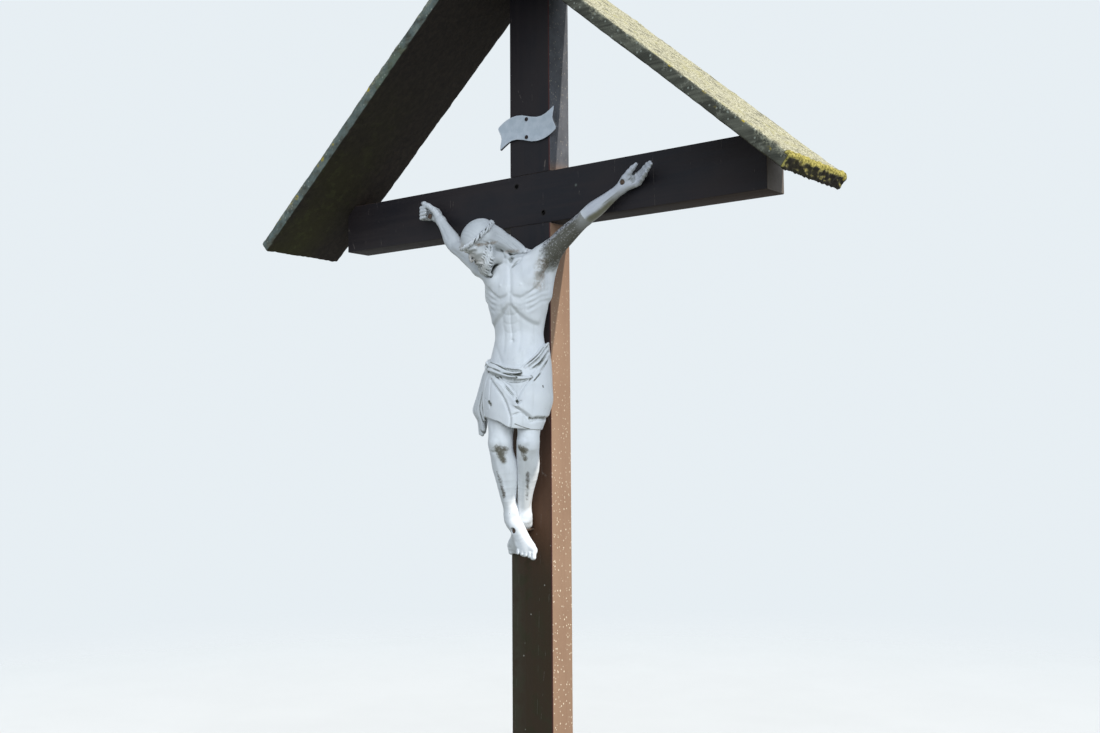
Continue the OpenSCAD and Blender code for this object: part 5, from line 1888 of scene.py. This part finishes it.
# The crown of thorns: canes twisted into a ring and pressed down over the hair, with short
# broken thorns standing out of it, cast by itself and painted with the figure.
crown = []
crown_pose = pose(44)
rings = 84
canes = ((7, 0, 4.3, 3.7), (7, 2.1, 4.3, 3.7), (7, 4.2, 4.3, 3.7), (11, 1.0, 7.4, 2.4))
for turns, start, off, thick in canes:
    path = []
    for i in range(rings + 1):
        a = math.tau * (i % rings) / rings
        w = turns * a + start + 0.35 * math.sin(4 * a + start)
        reach = off + 0.9 * math.sin(5 * a + start)
        path.append((
            (58 + reach * math.cos(w)) * math.cos(a), (69 + reach * math.cos(w)) * math.sin(a) + 1,
            13 + reach * math.sin(w), thick + 0.5 * math.sin(9 * a + 2 * start),
        ))
    path = on_head(path, crown_pose)
    crown += [strand(path[i:i + 2], 0.6) for i in range(rings)]
for k in range(30):
    a = math.tau * k / 30 + 0.16
    lean, slew = 0.9 * math.sin(k * 2.4), 0.7 * math.cos(k * 1.7)
    way = np.array((math.cos(a) - slew * math.sin(a), math.sin(a) + slew * math.cos(a), lean))
    way /= np.linalg.norm(way)
    root = np.array((59 * math.cos(a), 70 * math.sin(a) + 1, 13 + 5 * lean))
    long = 6.5 + 2.5 * (k % 2)
    crown.append(strand(
        on_head([(*root, 3.2), (*(root + way * long * 0.5), 2.3), (*(root + way * long), 0.9)], crown_pose),
        0.8, steps=1
    ))
clay = Clay((-148, -300, -250), (42, -120, -66), cell=1.4).lay(crown)
cast(clay, "crown_of_thorns")

# Three forged nails, one through each hand and one through both feet into the post. Each is a
# hammered bar whose end is drawn in and pulled forward to a faceted head, in bare rusty iron.
rust = Finish("nail_iron", [("Metallic", 0.35), ("Specular IOR Level", 0.4)])
scale_of = rust.noise(0.004, 5, 0.65)
tone = rust.layers(
    (0.085, 0.062, 0.048),
    (scale_of.ramp(0.45, 0.62), (0.16, 0.095, 0.06)),
    (scale_of.ramp(0.58, 0.72), (0.045, 0.038, 0.034)),
)
nail_iron = rust.close(tone, 0.62 + scale_of * 0.3, scale_of, 0.0008)
shank_radius, shank_front = 0.0045, 0.0035
head_front, head_back = 0.0015, 0.0055
head_steps = ((0.0018, -0.0012), (0.0026, -0.0011), (0.0022, -0.0004))
for seed, node in enumerate(("hand_nail_right", "hand_nail_left", "feet_nail"), 5):
    low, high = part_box(node)
    x, z = (low.x + high.x) / 2, (low.z + high.z) / 2
    radius = (high.x - low.x) / 2
    nail = dowel(node + "_forged", x, z, low.y + shank_front, high.y, shank_radius, 12)
    head = dowel(node + "_head", x, z, low.y + head_front, low.y + head_back, radius, 14)
    for face in head.data.polygons:
        face.select = face.normal.y < -0.9
    bpy.ops.object.mode_set(mode="EDIT")
    bpy.ops.mesh.select_mode(type="FACE")
    for thick, out in head_steps:
        bpy.ops.mesh.inset(thickness=thick)
        bpy.ops.transform.translate(value=(0, out, 0))
    bpy.ops.mesh.select_all(action="SELECT")
    bpy.ops.transform.vertex_random(offset=0.0007, seed=seed)
    bpy.ops.object.mode_set(mode="OBJECT")
    finish_with(head, "BEVEL", width=0.0005, segments=2, limit_method="ANGLE")
    alone(nail)
    head.select_set(True)
    bpy.ops.object.join()
    bpy.ops.object.shade_smooth_by_angle(angle=0.5)
    belongs(nail, nail_iron, node)

# The ground and the light: a plain pale floor that fades out into a pale sky, a small warm sun
# from the shrine's right and above, and two broad pale lights of the sky.
alone()
bpy.ops.mesh.primitive_circle_add(vertices=96, radius=14, fill_type="NGON", location=(0, 0, 0))
floor = bpy.context.object
floor.name = "floor"
ground = Finish("floor_pale")
out = ground.node("VectorMath", {"operation": "LENGTH"}, {0: ground.place}, "Value")
shade = ground.noise(0.8, 4).ramp(0.3, 0.7)
colour = ground.mix(shade, (0.69, 0.70, 0.70), (0.71, 0.72, 0.72))
ray_kinds = ("Is Camera Ray", "Is Glossy Ray", "Is Transmission Ray")
rays = [ground.node("LightPath", {}, {}, output) for output in ray_kinds]
looked_at = (rays[0] + rays[1] + rays[2]).clamped()
colour = ground.mix(looked_at, (0.17, 0.18, 0.15), colour)
ground.close(colour, 0.9)
clear = ground.node("BsdfTransparent", {}, {})
fade = out.ramp(9.0, 3.0)
both = ground.node("MixShader", {}, {0: fade, 1: clear})
ground.tree.links.new(ground.shader.outputs[0], both.socket.node.inputs[2])
surface = ground.tree.nodes["Material Output"].inputs["Surface"]
ground.tree.links.new(both.socket, surface)
floor.data.materials.append(ground.material)
floor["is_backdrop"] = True

world = bpy.data.worlds.new("pale_sky")
bpy.context.scene.world = world
world.use_nodes = True
sky = world.node_tree
background = sky.nodes["Background"]
path = sky.nodes.new("ShaderNodeLightPath")
seen = sky.nodes.new("ShaderNodeBackground")
seen.inputs["Color"].default_value = (0.80, 0.86, 0.90, 1)
seen.inputs["Strength"].default_value = 1.0
background.inputs["Color"].default_value = (0.74, 0.86, 1.0, 1)
background.inputs["Strength"].default_value = 0.40
choose = sky.nodes.new("ShaderNodeMixShader")
joined = path.outputs[ray_kinds[0]]
for ray in ray_kinds[1:]:
    either = sky.nodes.new("ShaderNodeMath")
    either.operation = "MAXIMUM"
    sky.links.new(joined, either.inputs[0])
    sky.links.new(path.outputs[ray], either.inputs[1])
    joined = either.outputs[0]
sky.links.new(joined, choose.inputs[0])
sky.links.new(background.outputs[0], choose.inputs[1])
sky.links.new(seen.outputs[0], choose.inputs[2])
sky.links.new(choose.outputs[0], sky.nodes["World Output"].inputs["Surface"])


def lamp(name, aim, **settings):
    """A sun lamp that shines along a direction."""
    light = bpy.data.lights.new(name, "SUN")
    for key, value in settings.items():
        setattr(light, key, value)
    holder = bpy.data.objects.new(name, light)
    holder.location = (0, 0, 3)
    holder.rotation_euler = Vector(aim).to_track_quat("-Z", "Y").to_euler()
    bpy.context.scene.collection.objects.link(holder)


lamp("low_sun", (-1, -0.193, -0.85), energy=3.5, angle=math.radians(0.8), color=(1, 0.95, 0.87))
lamp("side_sky", (-1, 0.3, -0.2), energy=0.6, angle=math.radians(60), color=(0.84, 0.92, 1))
lamp("front_sky", (-0.55, 0.69, -0.47), energy=1.55, angle=math.radians(60), color=(0.84, 0.92, 1))

size = {"cad": cad_box, "visual": [list(corner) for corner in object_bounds()]}
